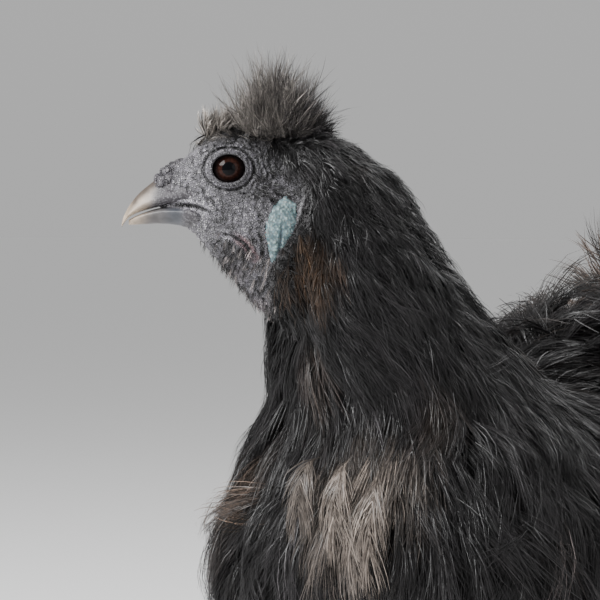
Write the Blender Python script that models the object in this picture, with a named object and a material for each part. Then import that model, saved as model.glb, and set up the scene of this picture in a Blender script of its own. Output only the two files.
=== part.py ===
"""A black silkie hen, life size, standing with her head turned to her right.

The hen faces -Y, her left side is +X and the floor is at z = 0. The head is modelled in a frame of its own
and turned on the neck. Lengths in the tables below are in millimetres and are scaled by MM.
"""

import math
import random

import bmesh
import bpy
from mathutils import Matrix, Vector
from mathutils.bvhtree import BVHTree

MM = 0.001
X_AXIS = Vector((1, 0, 0))
Y_AXIS = Vector((0, 1, 0))
Z_AXIS = Vector((0, 0, 1))
GAP = 0.4 * MM
# Unions of dozens of locks are slow with the exact solver.
LOCK_SOLVER = "MANIFOLD"
# Solvers and widenings of the gap, tried in turn until a cut is sound.
WIDENINGS = (1.0, 0.8, 1.2, 0.6, 1.4, 0.9, 1.1)
CUTS = [(solver, wider) for wider in WIDENINGS for solver in (LOCK_SOLVER, "EXACT")]
# Two nodes are clear of each other when they share less than this volume.
CLEAR_VOLUME = 0.008 * MM ** 3
# A cut that leaves less than this share of a node has failed.
LEAST_LEFT = 0.35
GOLDEN_ANGLE = math.radians(137.508)
# How deep a lock's root is sunk into what it grows from.
ROOT_DEPTH = 3.0
# Each lock differs a little from its measure, and sways to one side by up to this much a step.
LENGTH_VARIES = (0.88, 1.12)
WIDTH_VARIES = (0.92, 1.08)
LOCK_SWAY = 0.12
# Width and thickness of a lock at its root, middle and near its tip, as shares of its measure.
LOCK_WIDTHS = (0.55, 1.0, 0.8)
LOCK_THICKS = (0.8, 1.0, 0.8)
# Height over the surface at the same places, as a share of the height at the tip.
LOCK_RISES = (0.5, 0.9)
TIP_RISES = (0.95, 1.15)
# How much shorter a lock gets at a time where its tip would meet another node.
SHORTENED = 0.8
# The share of its triangles that each node keeps after its locks or feathers are joined to it.
KEPT = {
    "torso": 0.7,
    "neck": 0.5,
    "head": 1.0,
    "comb": 0.24,
    "crest": 0.46,
    "tail": 0.4,
    "wing": 0.32,
    "thigh": 0.42,
    "shank": 0.36,
}

# Torso, outer shape of the plumage: place along the back, top, underside, half width.
TORSO_ROWS = (
    (-112, 172, 114, 31),
    (-100, 186, 99, 49),
    (-80, 197, 86, 64),
    (-52, 203, 75, 76),
    (-20, 203, 67, 83),
    (15, 204, 62, 87),
    (48, 211, 62, 85),
    (76, 220, 72, 74),
    (96, 221, 94, 57),
    (110, 212, 124, 36),
)
TORSO_FRONT = (-118, 144)
TORSO_REAR = (118, 170)
TORSO_MIDDLE = 0
TORSO_CORE = 0.80
TORSO_SIDES = 18
SCATTER_TRIES = 3000
# Locks: length, width, thickness, and how high the tip stands over the core.
TORSO_LOCK = (56, 32, 4.0, 16)
BELLY_LOCK = (40, 28, 3.6, 12)
TORSO_SPACING = 25
# No lock grows here: between these places beside the wing, below this height and this near to
# the thigh's middle, behind and above this place at the tail, and above and this near to the neck's foot.
UNDER_WING = (-18, 76)
WING_RIM = 6
UNDER_THIGH = (88, 25)
UNDER_TAIL = (70, 172)
UNDER_NECK = (172, 45)
# The coat parts at the foot of the neck and runs away from there.
FLOW_SOURCE = (0, -55, 200)

# Neck, outer shape of the hackle: centre x, y, z and half width of each level ring.
NECK_ROWS = (
    (0, -48, 168, 58),
    (-1, -52, 180, 52),
    (-1, -57, 191, 46),
    (-2, -62, 203, 40),
    (-3, -69, 217, 34),
    (-5, -77, 232, 29),
    (-7, -84, 247, 25),
    (-10, -90, 259, 22),
    (-13, -94, 268, 16),
)
NECK_FOOT = (0, -46, 152)
NECK_TOP = (-15, -96, 273)
NECK_CORE = 0.74
NECK_SIDES = 16
# Locks at the nape and at the foot of the hackle: length, width, thickness and height of the tip.
NAPE_LOCK = (26, 14.5, 2.4, 7.5)
CAPE_LOCK = (42, 26.5, 3.4, 14)
# Height of each tier of hackle locks and how many stand in it.
NECK_TIERS = ((262, 7), (248, 7), (234, 8), (219, 9), (203, 10), (186, 11))

# Head frame: midway between the eyes, turned to the hen's right.
HEAD_PLACE = (-33.6, -107.4, 262)
HEAD_TURN = math.radians(-58)

# Head without crest and bill: forward of the eyes, top, underside, half width.
HEAD_ROWS = (
    (15.5, 1.5, -16.0, 6.6),
    (12.0, 5.0, -18.0, 8.6),
    (8.0, 8.6, -21.0, 10.4),
    (3.0, 11.2, -25.0, 12.0),
    (-3.0, 12.6, -30.5, 13.0),
    (-9.0, 13.4, -37.0, 14.2),
    (-15.0, 13.4, -43.0, 15.6),
    (-21.0, 12.4, -44.0, 16.6),
    (-27.0, 9.6, -36.0, 16.0),
    (-33.0, 4.5, -24.0, 12.6),
)
HEAD_FRONT = (16.2, -7.5)
HEAD_REAR = (-37.0, -8.0)
HEAD_LEAN = 0.28
HEAD_SIDES = 20
# Behind the bare face the skin lies deeper, under short feathers.
HEAD_CORE = 0.84
HEAD_LOCK = (17, 9, 2.2, 3.2)
# Place of each tier of short feathers and how many stand in it, round this height.
HEAD_TIERS = ((-12, 12), (-20, 12))
HEAD_MIDDLE = -12

EYE_SIDE = 7.2
EYE_RADIUS = 6.0
LID_RADIUS = 5.3
LID_THICK = 1.15
LID_SIDE = 11.0

# Upper and lower bill: forward, top, underside, half width.
BILL_UPPER_ROWS = (
    (12.5, 0.6, -10.5, 6.6),
    (16.0, -1.2, -10.6, 6.0),
    (20.0, -2.8, -10.9, 4.9),
    (24.0, -5.2, -11.9, 3.8),
    (27.5, -7.6, -13.1, 2.8),
    (30.0, -10.2, -14.6, 1.8),
    (31.5, -13.4, -16.2, 0.9),
)
BILL_UPPER_TIP = (32.1, -17.1)
BILL_LOWER_ROWS = (
    (11.0, -11.6, -17.4, 5.6),
    (16.0, -11.4, -16.5, 5.1),
    (21.0, -11.7, -16.2, 4.1),
    (25.0, -12.8, -16.3, 3.0),
    (28.0, -13.9, -16.5, 1.9),
)
BILL_LOWER_TIP = (30.4, -15.8)
BILL_SIDES = 12
NOSTRIL = (17.6, -5.6)
NOSTRIL_SIDE = 5.6
NOSTRIL_SIZE = (1.6, 1.7, 0.8)
NOSTRIL_SLOPE = 0.35
# The mouth line runs back from the bill to the gape: forward, height.
MOUTH_LINE = ((17.5, -11.1), (14.7, -11.1), (9.8, -11.7), (6.8, -12.8), (4.6, -13.6))
MOUTH_OPEN = 0.6
MOUTH_DEPTH = 3.0

COMB_PLACE = (16.6, -0.4)
COMB_SIZE = (4.2, 5.0, 3.4)
COMB_WARTS = 11
WART_RADIUS = (1.2, 1.7)
WART_DEPTH = 0.82

CREST_PLACE = (-13.5, 13.0)
CREST_CORE = (11.5, 14.5, 7.0)
CREST_FEATHERS = 26
CREST_FEATHER = (21, 9.5, 1.8)
FRINGE_FEATHERS = 5
FRINGE_FEATHER = (12, 5.5, 1.6)
FRINGE_HALF = 7

LOBE_PLACE = (-15.4, -16.5)
LOBE_SIZE = (1.7, 4.2, 7.6)
LOBE_TURN = 0.2
WATTLE_PLACE = (-3.5, -23.5)
WATTLE_SIZE = (1.3, 3.4, 2.8)

# Tail: root, and for each tier its feathers, half spread, rise, length and width.
TAIL_ROOT = (0, 94, 196)
TAIL_CORE = (24, 21, 18)
TAIL_MIDDLE = (0, 104, 206)
TAIL_TURN = math.radians(-40)
# The feathers' roots stand this far out from the tail's root.
TAIL_ROOTS = 12
TAIL_TIERS = (
    (6, 74, 8, 46, 34),
    (6, 70, 32, 54, 36),
    (5, 62, 56, 60, 36),
    (4, 50, 80, 56, 34),
)
TAIL_THICK = 1.8
# How far a feather bends away from its first direction, as a share of its length.
FEATHER_BEND = 0.3

WING_FRONT = -30
WING_REAR = 98
WING_TOP_FRONT = 160
WING_SLOPE = 0.27
WING_HALF = 27
# The wing's surface lies at this share of the plumage's outer shape.
WING_SHARE = 0.95
# For each tier of wing feathers: place of the roots along the wing, count, length, width.
WING_TIERS = (
    (-22, 3, 40, 22),
    (2, 4, 44, 19),
    (24, 4, 56, 18),
    (46, 4, 58, 16),
)
WING_THICK = 1.7
# Rings and ends of the wing's body along the back, its half thickness and how deep it is sunk.
WING_STATIONS = (-28, -20, -2, 22, 46, 68, 82)
WING_ENDS = (-33, 88)
WING_BODY = 7.5
WING_SUNK = 5
# The vanes' heights over the wing's surface from root to tip.
VANE_LIFTS = (-4.5, 3.0, 5.2, 5.0, 3.0)

# Legs: the feet stand under the body's weight, the hocks behind them.
LEG_SIDE = 36
FOOT_BACK = 2
FOOT_TURN = math.radians(8)
# Thigh: height, half width, and how far its middle lies behind the foot.
THIGH_ROWS = ((112, 30, 4), (96, 32, 6), (80, 30, 9), (66, 24, 12), (55, 15, 15))
THIGH_TOP = (124, 3)
THIGH_END = (48, 17)
THIGH_CORE = 0.78
# Tiers of thigh locks: height, place behind the foot, count. Then their measures at the top and the hock.
THIGH_TIERS = ((90, 7, 7), (72, 11, 7))
THIGH_LOCK = (32, 22, 2.8, 7.5)
HOCK_LOCK = (24, 17, 2.4, 5.5)
BARE_INSIDE = 14
# Shank: height, half thickness, and how far it lies behind the foot.
SHANK_ROWS = ((60, 6.4, 18), (50, 5.8, 15), (39, 4.6, 10.5), (26, 4.4, 6), (15, 5.0, 2.2))
SHANK_TOP = (65, 19.5)
SHANK_END = (8, 0)
# Stubs of feathers down the outside of the shank: height and place behind the foot of each tier.
STUB_TIERS = ((54, 16.2), (45, 12.8), (36, 9.4), (29, 6.8))
STUB_ANGLES = (-0.5, 0.35, 1.2)
STUB_DEPTH = 2.5
STUB_SIZE = (19.5, 12, 1.7)
PAD_SIZE = (8.5, 9.5, 6.0)
PAD_HEIGHT = 5.2
# Toes by number: heading from straight ahead towards the outside, length, half thickness at root and end.
TOES = {
    3: (0, 44, 4.1, 2.9),
    2: (-34, 33, 3.8, 2.7),
    4: (33, 36, 3.7, 2.6),
    1: (-163, 18, 3.2, 2.4),
    5: (-146, 24, 3.0, 2.3),
}
TOE_RINGS = 5
TOE_SIDES = 8
# The toes' middle lies lower than their half thickness, so that each has a flat sole.
SOLE_SINK = 0.82
# The fifth toe is carried clear of the floor and curves upwards.
RAISED_TOE = 5
RAISED_ROOT = 9.5
RAISED_RISE = 11
CLAW_LENGTH = 9
CLAW_RINGS = 3
CLAW_FLOOR = 0.6


def clear_scene():
    for thing in list(bpy.data.objects):
        bpy.data.objects.remove(thing)


def make_collection(name):
    made = bpy.data.collections.new(name)
    bpy.context.scene.collection.children.link(made)
    return made


def make_material(name, colour, roughness):
    material = bpy.data.materials.new(name)
    material.use_nodes = True
    shader = material.node_tree.nodes["Principled BSDF"]
    shader.inputs["Base Color"].default_value = (*colour, 1)
    shader.inputs["Roughness"].default_value = roughness
    shader.inputs["Metallic"].default_value = 0.0
    return material


def vector(values):
    return Vector(values) * MM


def scaled(values):
    return [value * MM for value in values]


def smooth(value, low, high):
    """0 up to low, 1 from high on, with a soft rise between."""
    share = min(max((value - low) / (high - low), 0.0), 1.0)
    return share * share * (3 - 2 * share)


def object_from(shape, name, collection, frame=None):
    """Turns a bmesh into a named object with outward faces."""
    bmesh.ops.recalc_face_normals(shape, faces=shape.faces)
    if frame is not None:
        bmesh.ops.transform(shape, matrix=frame, verts=shape.verts)
    mesh = bpy.data.meshes.new(name)
    shape.to_mesh(mesh)
    shape.free()
    made = bpy.data.objects.new(name, mesh)
    collection.objects.link(made)
    return made


def loft(rings, first, last):
    """A closed skin over rings of equal length, with a point at each end."""
    shape = bmesh.new()
    loops = [[shape.verts.new(point) for point in ring] for ring in rings]
    count = len(loops[0])
    for lower, upper in zip(loops, loops[1:]):
        for k in range(count):
            after = (k + 1) % count
            shape.faces.new((lower[k], lower[after], upper[after], upper[k]))
    for point, ring in ((first, loops[0]), (last, loops[-1])):
        pole = shape.verts.new(point)
        for k in range(count):
            shape.faces.new((pole, ring[k], ring[(k + 1) % count]))
    bmesh.ops.triangulate(shape, faces=shape.faces)
    return shape


def egg_ring(place, side, up, half_wide, rise, drop, lean, count, shift=0.0):
    """A ring that is wider above its middle when lean is positive, turned by a share of its step."""
    ring = []
    for k in range(count):
        angle = math.tau * (k + shift) / count
        height = math.sin(angle)
        across = half_wide * math.cos(angle) * (1 + lean * height)
        ring.append(place + side * across + up * height * (rise if height > 0 else drop))
    return ring


def ball(centre, radii, segments=16, rings=10, turn=None):
    """An ellipsoid from Blender's sphere."""
    shape = bmesh.new()
    bmesh.ops.create_uvsphere(shape, u_segments=segments, v_segments=rings, radius=1)
    matrix = Matrix.Translation(vector(centre))
    if turn is not None:
        matrix = matrix @ turn
    bmesh.ops.transform(shape, matrix=matrix @ Matrix.Diagonal((*vector(radii), 1)), verts=shape.verts)
    bmesh.ops.triangulate(shape, faces=shape.faces)
    return shape


def blade(points, normals, widths, thicks):
    """A flat tapered lock: diamond sections along points, ending in a tip."""
    shape = bmesh.new()
    sections = []
    for i in range(len(points) - 1):
        along = points[i + 1] - points[max(i - 1, 0)]
        side = along.cross(normals[i]).normalized()
        normal = side.cross(along).normalized()
        across = side * widths[i] / 2
        thick = normal * thicks[i] / 2
        places = (points[i] + across, points[i] + thick, points[i] - across, points[i] - thick)
        sections.append([shape.verts.new(place) for place in places])
    for lower, upper in zip(sections, sections[1:]):
        for k in range(4):
            after = (k + 1) % 4
            # The outer edges are the even corners, and each quad is split from there, alike on both faces.
            outer, inner = (k, after) if k % 2 == 0 else (after, k)
            shape.faces.new((lower[outer], lower[inner], upper[inner]))
            shape.faces.new((lower[outer], upper[inner], upper[outer]))
    tip = shape.verts.new(points[-1])
    for k in range(4):
        shape.faces.new((sections[-1][k], sections[-1][(k + 1) % 4], tip))
    shape.faces.new(sections[0][:3])
    shape.faces.new((sections[0][0], sections[0][2], sections[0][3]))
    return shape


def evaluated_mesh(thing):
    graph = bpy.context.evaluated_depsgraph_get()
    return bpy.data.meshes.new_from_object(thing.evaluated_get(graph))


def boolean(target, operation, other, solver="EXACT"):
    """Joins or cuts target with an object or a whole collection, and keeps the result as its mesh."""
    modifier = target.modifiers.new(operation.lower(), "BOOLEAN")
    modifier.operation = operation
    modifier.solver = solver
    if isinstance(other, bpy.types.Collection):
        modifier.operand_type = "COLLECTION"
        modifier.collection = other
    else:
        modifier.object = other
    bpy.context.view_layer.update()
    mesh = evaluated_mesh(target)
    target.modifiers.remove(modifier)
    target.data = mesh


def keep_largest(target):
    """Leaves the largest closed surface of a mesh."""
    shape = bmesh.new()
    shape.from_mesh(target.data)
    waiting = set(shape.faces)
    bodies = []
    while waiting:
        body = [waiting.pop()]
        for face in body:
            for edge in face.edges:
                for other in edge.link_faces:
                    if other in waiting:
                        waiting.remove(other)
                        body.append(other)
        bodies.append(body)
    bodies.sort(key=lambda body: sum(face.calc_area() for face in body))
    scraps = [face for body in bodies[:-1] for face in body]
    bmesh.ops.delete(shape, geom=scraps, context="FACES")
    bmesh.ops.triangulate(shape, faces=shape.faces, ngon_method="EAR_CLIP")
    shape.to_mesh(target.data)
    shape.free()


def empty_out(collection):
    for thing in list(collection.objects):
        bpy.data.objects.remove(thing)


def fuse(core, pieces, share):
    """Joins a collection of closed pieces to a core, and keeps a share of the union's triangles."""
    boolean(core, "UNION", pieces, LOCK_SOLVER)
    empty_out(pieces)
    keep_largest(core)
    thinner = core.modifiers.new("thinner", "DECIMATE")
    thinner.ratio = share
    bpy.context.view_layer.update()
    mesh = evaluated_mesh(core)
    core.modifiers.remove(thinner)
    core.data = mesh


def grown(thing, distance, collection):
    """A copy of a node, pushed out all over, which cuts its neighbours clear of it."""
    shape = bmesh.new()
    shape.from_mesh(thing.data)
    shape.normal_update()
    moves = [vertex.normal * distance * min(vertex.calc_shell_factor(), 2.0) for vertex in shape.verts]
    for vertex, move in zip(shape.verts, moves):
        vertex.co += move
    mesh = bpy.data.meshes.new(thing.name + "_grown")
    shape.to_mesh(mesh)
    shape.free()
    made = bpy.data.objects.new(mesh.name, mesh)
    collection.objects.link(made)
    return made


def cut_with(target, cutter, solver=LOCK_SOLVER):
    """Takes a cutter's shape out of a node, then removes the cutter."""
    cutter.hide_render = True
    cutter.display_type = "WIRE"
    boolean(target, "DIFFERENCE", cutter, solver)
    bpy.data.objects.remove(cutter)


def closed_volume(mesh):
    """The volume of a mesh, or 0 where some edge does not join two faces."""
    shape = bmesh.new()
    shape.from_mesh(mesh)
    sound = all(edge.is_manifold for edge in shape.edges)
    volume = shape.calc_volume() if sound else 0.0
    shape.free()
    return volume


def shared_volume(one, other):
    """The volume that two nodes have in common."""
    whole = one.data
    one.data = whole.copy()
    boolean(one, "INTERSECT", other)
    volume = closed_volume(one.data)
    one.data = whole
    return volume


def keep_clear(target, cutters, *others):
    """Cuts target clear of finished nodes by about GAP.

    Growing a node can draw its surface in at a few sharp corners, so a second cut follows its true shape.
    Of the ways in CUTS, the first is kept that leaves the target closed and clear.
    """
    for other in others:
        whole = target.data
        least = closed_volume(whole) * LEAST_LEFT
        for solver, wider in CUTS:
            target.data = whole.copy()
            for distance in (GAP * wider, 0.0):
                cut_with(target, grown(other, distance, cutters), solver)
                keep_largest(target)
            if closed_volume(target.data) > least and shared_volume(target, other) < CLEAR_VOLUME:
                break
        else:
            raise RuntimeError(f"{target.name} is not cut clear of {other.name}")


def surface_of(shape):
    """A search tree over a bmesh, with its faces turned outwards."""
    bmesh.ops.recalc_face_normals(shape, faces=shape.faces)
    return BVHTree.FromBMesh(shape)


def scattered(shape, spacing, chance):
    """Places spread evenly over a shape, at least a spacing apart. Spacing is read at each place."""
    faces = list(shape.faces)
    areas = [face.calc_area() for face in faces]
    chosen = []
    for face in chance.choices(faces, areas, k=SCATTER_TRIES):
        a, b, c = [vertex.co for vertex in face.verts]
        u, v = chance.random(), chance.random()
        if u + v > 1:
            u, v = 1 - u, 1 - v
        place = a + (b - a) * u + (c - a) * v
        apart = spacing(place)
        if apart and all((place - other).length > apart for other in chosen):
            chosen.append(place)
    return chosen


def flowed(surface, root, flow, length, lifts, sway):
    """Points and normals that run from a root over a surface along its lie, at heights above it."""
    place, normal = surface.find_nearest(root)[:2]
    points, normals = [], []
    stride = length / (len(lifts) - 1)
    for i, lift in enumerate(lifts):
        points.append(place + normal * lift)
        normals.append(normal.copy())
        heading = flow(place)
        heading = (heading - normal * heading.dot(normal)).normalized()
        heading = (heading + heading.cross(normal) * sway * i).normalized()
        place, normal = surface.find_nearest(place + heading * stride)[:2]
    return points, normals


def crosses_itself(shape):
    """True where faces of a thin shape that share no corner cut each other."""
    shape.faces.ensure_lookup_table()
    tree = BVHTree.FromBMesh(shape)
    pairs = [(shape.faces[a], shape.faces[b]) for a, b in tree.overlap(tree) if a < b]
    return any(not set(one.verts) & set(other.verts) for one, other in pairs)


def tree_of(thing):
    """A search tree over a finished node."""
    shape = bmesh.new()
    shape.from_mesh(thing.data)
    tree = BVHTree.FromBMesh(shape)
    shape.free()
    return tree


def meets(shape, tree):
    """True where a shape crosses a tree's surface or comes within GAP of it."""
    crosses = bool(BVHTree.FromBMesh(shape).overlap(tree))
    return crosses or any(tree.find_nearest(vertex.co)[3] < GAP for vertex in shape.verts)


def add_locks(surface, roots, flow, measure, pieces, chance, frame=None, barred=None, beside=None):
    """Lays one flat lock at each root. Measure gives its length, width, thickness and height at the tip.

    A lock that would end where another node grows is shortened. One that would fold onto itself at a
    tight bend, or that would meet the node beside it, is left out.
    """
    for index, root in enumerate(roots):
        length, width, thick, top = measure(root)
        length *= chance.uniform(*LENGTH_VARIES)
        width *= chance.uniform(*WIDTH_VARIES)
        sway = chance.uniform(-LOCK_SWAY, LOCK_SWAY)
        lifts = [-ROOT_DEPTH * MM, *(top * rise for rise in LOCK_RISES), top * chance.uniform(*TIP_RISES)]
        points, normals = flowed(surface, root, flow, length, lifts, sway)
        while barred is not None and barred(points[-1]) and length > width:
            length *= SHORTENED
            points, normals = flowed(surface, root, flow, length, lifts, sway)
        widths = [width * share for share in LOCK_WIDTHS]
        shape = blade(points, normals, widths, [thick * share for share in LOCK_THICKS])
        if frame is not None:
            bmesh.ops.transform(shape, matrix=frame, verts=shape.verts)
        hindered = crosses_itself(shape) or (beside is not None and meets(shape, beside))
        if length > SHORTENED * width and not hindered:
            object_from(shape, f"lock_{index}", pieces)


def ring_roots(surface, middle, across, up, count, shift):
    """Roots spread round a body where rays from its middle leave it."""
    roots = []
    for k in range(count):
        angle = math.tau * (k + shift) / count
        hit = surface.ray_cast(middle, across * math.cos(angle) + up * math.sin(angle))[0]
        if hit is not None:
            roots.append(hit)
    return roots


def torso_shape(share):
    """The torso's loft, drawn in towards its own middle line by share."""
    rings = []
    reach = math.sqrt(share)
    for back, top, under, wide in TORSO_ROWS:
        place = vector((0, TORSO_MIDDLE + (back - TORSO_MIDDLE) * reach, (top + under) / 2))
        half = (top - under) / 2 * share * MM
        across = wide * share * MM
        rings.append(egg_ring(place, X_AXIS, Z_AXIS, across, half, half, 0, TORSO_SIDES))
    ends = [
        vector((0, TORSO_MIDDLE + (back - TORSO_MIDDLE) * reach, height))
        for back, height in (TORSO_FRONT, TORSO_REAR)
    ]
    return loft(rings, *ends)


def torso_flow(place):
    """The coat spreads from the foot of the neck, then trails back and down."""
    spread = (place - vector(FLOW_SOURCE)).normalized()
    trail = 0.25 + 0.75 * smooth(place.y / MM, -70, 0)
    return spread * 0.8 + Vector((0, 0.75, -0.25)) * trail


def wing_line(back):
    """Height of the wing's middle at a place along the back."""
    return WING_TOP_FRONT - (back - WING_FRONT) * WING_SLOPE


def wing_half(back):
    """Half height of the folded wing: rounded at the shoulder, drawn out behind."""
    share = (back - WING_FRONT) / (WING_REAR - WING_FRONT)
    return WING_HALF * (1 - 0.62 * share) * math.sqrt(min(1, (share + 0.06) / 0.2))


def carries_no_lock(place):
    """True where the wing, thigh, tail or neck grows from the torso."""
    side, back, up = abs(place.x) / MM, place.y / MM, place.z / MM
    front, rear = UNDER_WING
    beside = side > WING_HALF and front < back < rear
    wing = beside and abs(up - wing_line(back)) < wing_half(back) - WING_RIM
    thigh = up < UNDER_THIGH[0] and math.hypot(side - LEG_SIDE, back - FOOT_BACK - 8) < UNDER_THIGH[1]
    tail = back > UNDER_TAIL[0] and up > UNDER_TAIL[1]
    neck = up > UNDER_NECK[0] and math.hypot(side, back - NECK_ROWS[0][1]) < UNDER_NECK[1]
    return wing or thigh or tail or neck


def build_torso(parts, pieces):
    shape = torso_shape(TORSO_CORE)
    surface = surface_of(shape)
    chance = random.Random(11)
    roots = scattered(shape, lambda place: 0 if carries_no_lock(place) else TORSO_SPACING * MM, chance)
    torso = object_from(shape, "torso", parts)

    def measure(root):
        under = 1 - smooth(root.z / MM, 85, 115)
        return scaled(high + (low - high) * under for high, low in zip(TORSO_LOCK, BELLY_LOCK))

    add_locks(surface, roots, torso_flow, measure, pieces, chance, barred=carries_no_lock)
    fuse(torso, pieces, KEPT["torso"])
    return torso


def neck_shape(share):
    rings = []
    for x, y, z, half in NECK_ROWS:
        wide = half * share * MM
        rings.append(egg_ring(vector((x, y, z)), X_AXIS, Y_AXIS, wide, wide, wide, 0, NECK_SIDES))
    return loft(rings, vector(NECK_FOOT), vector(NECK_TOP))


def neck_centre(level):
    """The neck's middle at a height, read between its rows."""
    for low, high in zip(NECK_ROWS, NECK_ROWS[1:]):
        if low[2] <= level <= high[2]:
            share = (level - low[2]) / (high[2] - low[2])
            return tuple(low[i] + (high[i] - low[i]) * share for i in (0, 1))
    return NECK_ROWS[-1][:2]


def neck_flow(place):
    """Hackle runs down the neck and fans out over the shoulders."""
    x, y = neck_centre(place.z / MM)
    outward = Vector((place.x - x * MM, place.y - y * MM, 0)).normalized()
    return outward * 0.35 + Vector((0.02, 0.30, -0.9))


def head_frame():
    return Matrix.Translation(vector(HEAD_PLACE)) @ Matrix.Rotation(HEAD_TURN, 4, "Z")


def in_throat(place):
    """True on the bare throat under the face, where no hackle grows."""
    local = head_frame().inverted() @ place
    forward, up = -local.y / MM, local.z / MM
    return up > -38 and forward > -13 + 0.3 * (up + 38)


def build_neck(parts, pieces):
    shape = neck_shape(NECK_CORE)
    surface = surface_of(shape)
    neck = object_from(shape, "neck", parts)
    roots = []
    for tier, (level, count) in enumerate(NECK_TIERS):
        middle = vector((*neck_centre(level), level))
        roots += ring_roots(surface, middle, X_AXIS, Y_AXIS, count, 0.5 * (tier % 2))
    roots = [root for root in roots if not in_throat(root)]

    def measure(root):
        down = 1 - smooth(root.z / MM, 190, 260)
        return scaled(high + (low - high) * down for high, low in zip(NAPE_LOCK, CAPE_LOCK))

    add_locks(surface, roots, neck_flow, measure, pieces, random.Random(23))
    fuse(neck, pieces, KEPT["neck"])
    return neck


def head_point(forward, height, side=0.0):
    """A point of the head frame, from its place forward of the eyes, its height and its side."""
    return vector((side, -forward, height))


def head_shape(core):
    """The head's loft. Behind the bare face it is drawn in by core."""
    rings = []
    for forward, top, under, wide in HEAD_ROWS:
        share = core + (1 - core) * smooth(forward, -22, -4)
        middle = (top + under) / 2 if forward < 0 else (top + under) / 2 * 0.6
        rise, drop = (top - middle) * share, (middle - under) * share
        place = head_point(forward, middle)
        across = wide * share * MM
        ring = egg_ring(
            place, X_AXIS, Z_AXIS, across, rise * MM, drop * MM, HEAD_LEAN, HEAD_SIDES
        )
        rings.append(ring)
    return loft(rings, head_point(*HEAD_FRONT), head_point(HEAD_REAR[0] * core, HEAD_REAR[1]))


def head_flow(place):
    """Short feathers run back over the crown and down the nape and cheek."""
    back = smooth(-(-place.y) / MM, 8, 34)
    return Vector((place.x * 12, 0.9 - 0.5 * back, -0.35 - 0.75 * back))


def lid_ring(side):
    """The thick rim of both lids round one eye."""
    shape = bmesh.new()
    count, corners = 18, 6
    loops = []
    for i in range(count):
        angle = math.tau * i / count
        outward = Vector((0, math.cos(angle), math.sin(angle)))
        middle = vector((side * LID_SIDE, 0, 0)) + outward * LID_RADIUS * MM
        loop = []
        for k in range(corners):
            turn = math.tau * k / corners
            offset = outward * math.cos(turn) + Vector((side, 0, 0)) * math.sin(turn)
            loop.append(shape.verts.new(middle + offset * LID_THICK * MM))
        loops.append(loop)
    for i in range(count):
        for k in range(corners):
            here, there = loops[i], loops[(i + 1) % count]
            after = (k + 1) % corners
            shape.faces.new((here[k], here[after], there[after], there[k]))
    bmesh.ops.triangulate(shape, faces=shape.faces)
    return shape


def mouth_slit(side):
    """A thin curved slit along the mouth line, on one side of the face."""
    shape = bmesh.new()
    half = MOUTH_OPEN / 2
    reach = HEAD_ROWS[2][3] + 4
    loops = []
    for forward, height in MOUTH_LINE:
        wide = 1.0 if forward > MOUTH_LINE[-1][0] else 0.4
        inner = max(1.0, head_half_width(forward) - MOUTH_DEPTH)
        corners = ((inner, -half), (reach, -half), (reach, half), (inner, half))
        places = [head_point(forward, height + dz * wide, side * x) for x, dz in corners]
        loops.append([shape.verts.new(place) for place in places])
    for lower, upper in zip(loops, loops[1:]):
        for k in range(4):
            after = (k + 1) % 4
            shape.faces.new((lower[k], lower[after], upper[after], upper[k]))
    shape.faces.new(loops[0])
    shape.faces.new(loops[-1])
    bmesh.ops.triangulate(shape, faces=shape.faces)
    return shape


def head_half_width(forward):
    """Half width of the head at a place forward of the eyes, read between its rows."""
    for front, back in zip(HEAD_ROWS, HEAD_ROWS[1:]):
        if back[0] <= forward <= front[0]:
            share = (front[0] - forward) / (front[0] - back[0])
            return front[3] + (back[3] - front[3]) * share
    return HEAD_ROWS[0][3]


def build_head(parts, pieces, cutters, neck):
    frame = head_frame()
    shape = head_shape(HEAD_CORE)
    surface = surface_of(shape)
    head = object_from(shape, "head", parts, frame)
    keep_clear(neck, cutters, head)
    roots = []
    for tier, (forward, count) in enumerate(HEAD_TIERS):
        middle = head_point(forward, HEAD_MIDDLE)
        roots += ring_roots(surface, middle, X_AXIS, Z_AXIS, count, 0.5 * (tier % 2))
    roots = [root for root in roots if bears_feathers(root)]

    def measure(root):
        return scaled(HEAD_LOCK)

    add_locks(surface, roots, head_flow, measure, pieces, random.Random(37), frame, beside=tree_of(neck))
    for side in (1, -1):
        object_from(lid_ring(side), "lid", pieces, frame)
    fuse(head, pieces, KEPT["head"])
    for side in (1, -1):
        socket = eye_ball(side, EYE_RADIUS + GAP / MM)
        cut_with(head, object_from(socket, "socket", cutters, frame))
        cut_with(head, object_from(mouth_slit(side), "mouth", cutters, frame))
    keep_largest(head)
    return head


def eye_ball(side, radius):
    """A ball for one eye, with its poles towards the sides."""
    return ball((side * EYE_SIDE, 0, 0), (radius,) * 3, 16, 8, Matrix.Rotation(math.pi / 2, 4, "Y"))


def bears_feathers(root):
    """True behind the bare face, between the ear lobes and the crest."""
    return root.y > 10 * MM and -6 * MM < root.z < 6 * MM


def bill_shape(rows, tip, flat_top):
    """Half of the bill: flat along the mouth line, vaulted away from it, with a soft ridge."""
    rings = []
    for forward, top, under, wide in rows:
        ring = []
        for k in range(BILL_SIDES):
            angle = math.tau * k / BILL_SIDES
            across = math.cos(angle) * wide
            bulge = math.sin(angle)
            edge, ridge = (top, under) if flat_top else (under, top)
            vaulted = bulge < 0 if flat_top else bulge > 0
            height = edge + (ridge - edge) * (abs(bulge) ** 0.85 if vaulted else 0.0)
            if not vaulted:
                across *= 0.96
            ring.append(head_point(forward, height, across))
        rings.append(ring)
    middle = (rows[0][1] + rows[0][2]) / 2
    return loft(rings, head_point(rows[0][0] - 0.5, middle), head_point(*tip))


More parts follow.
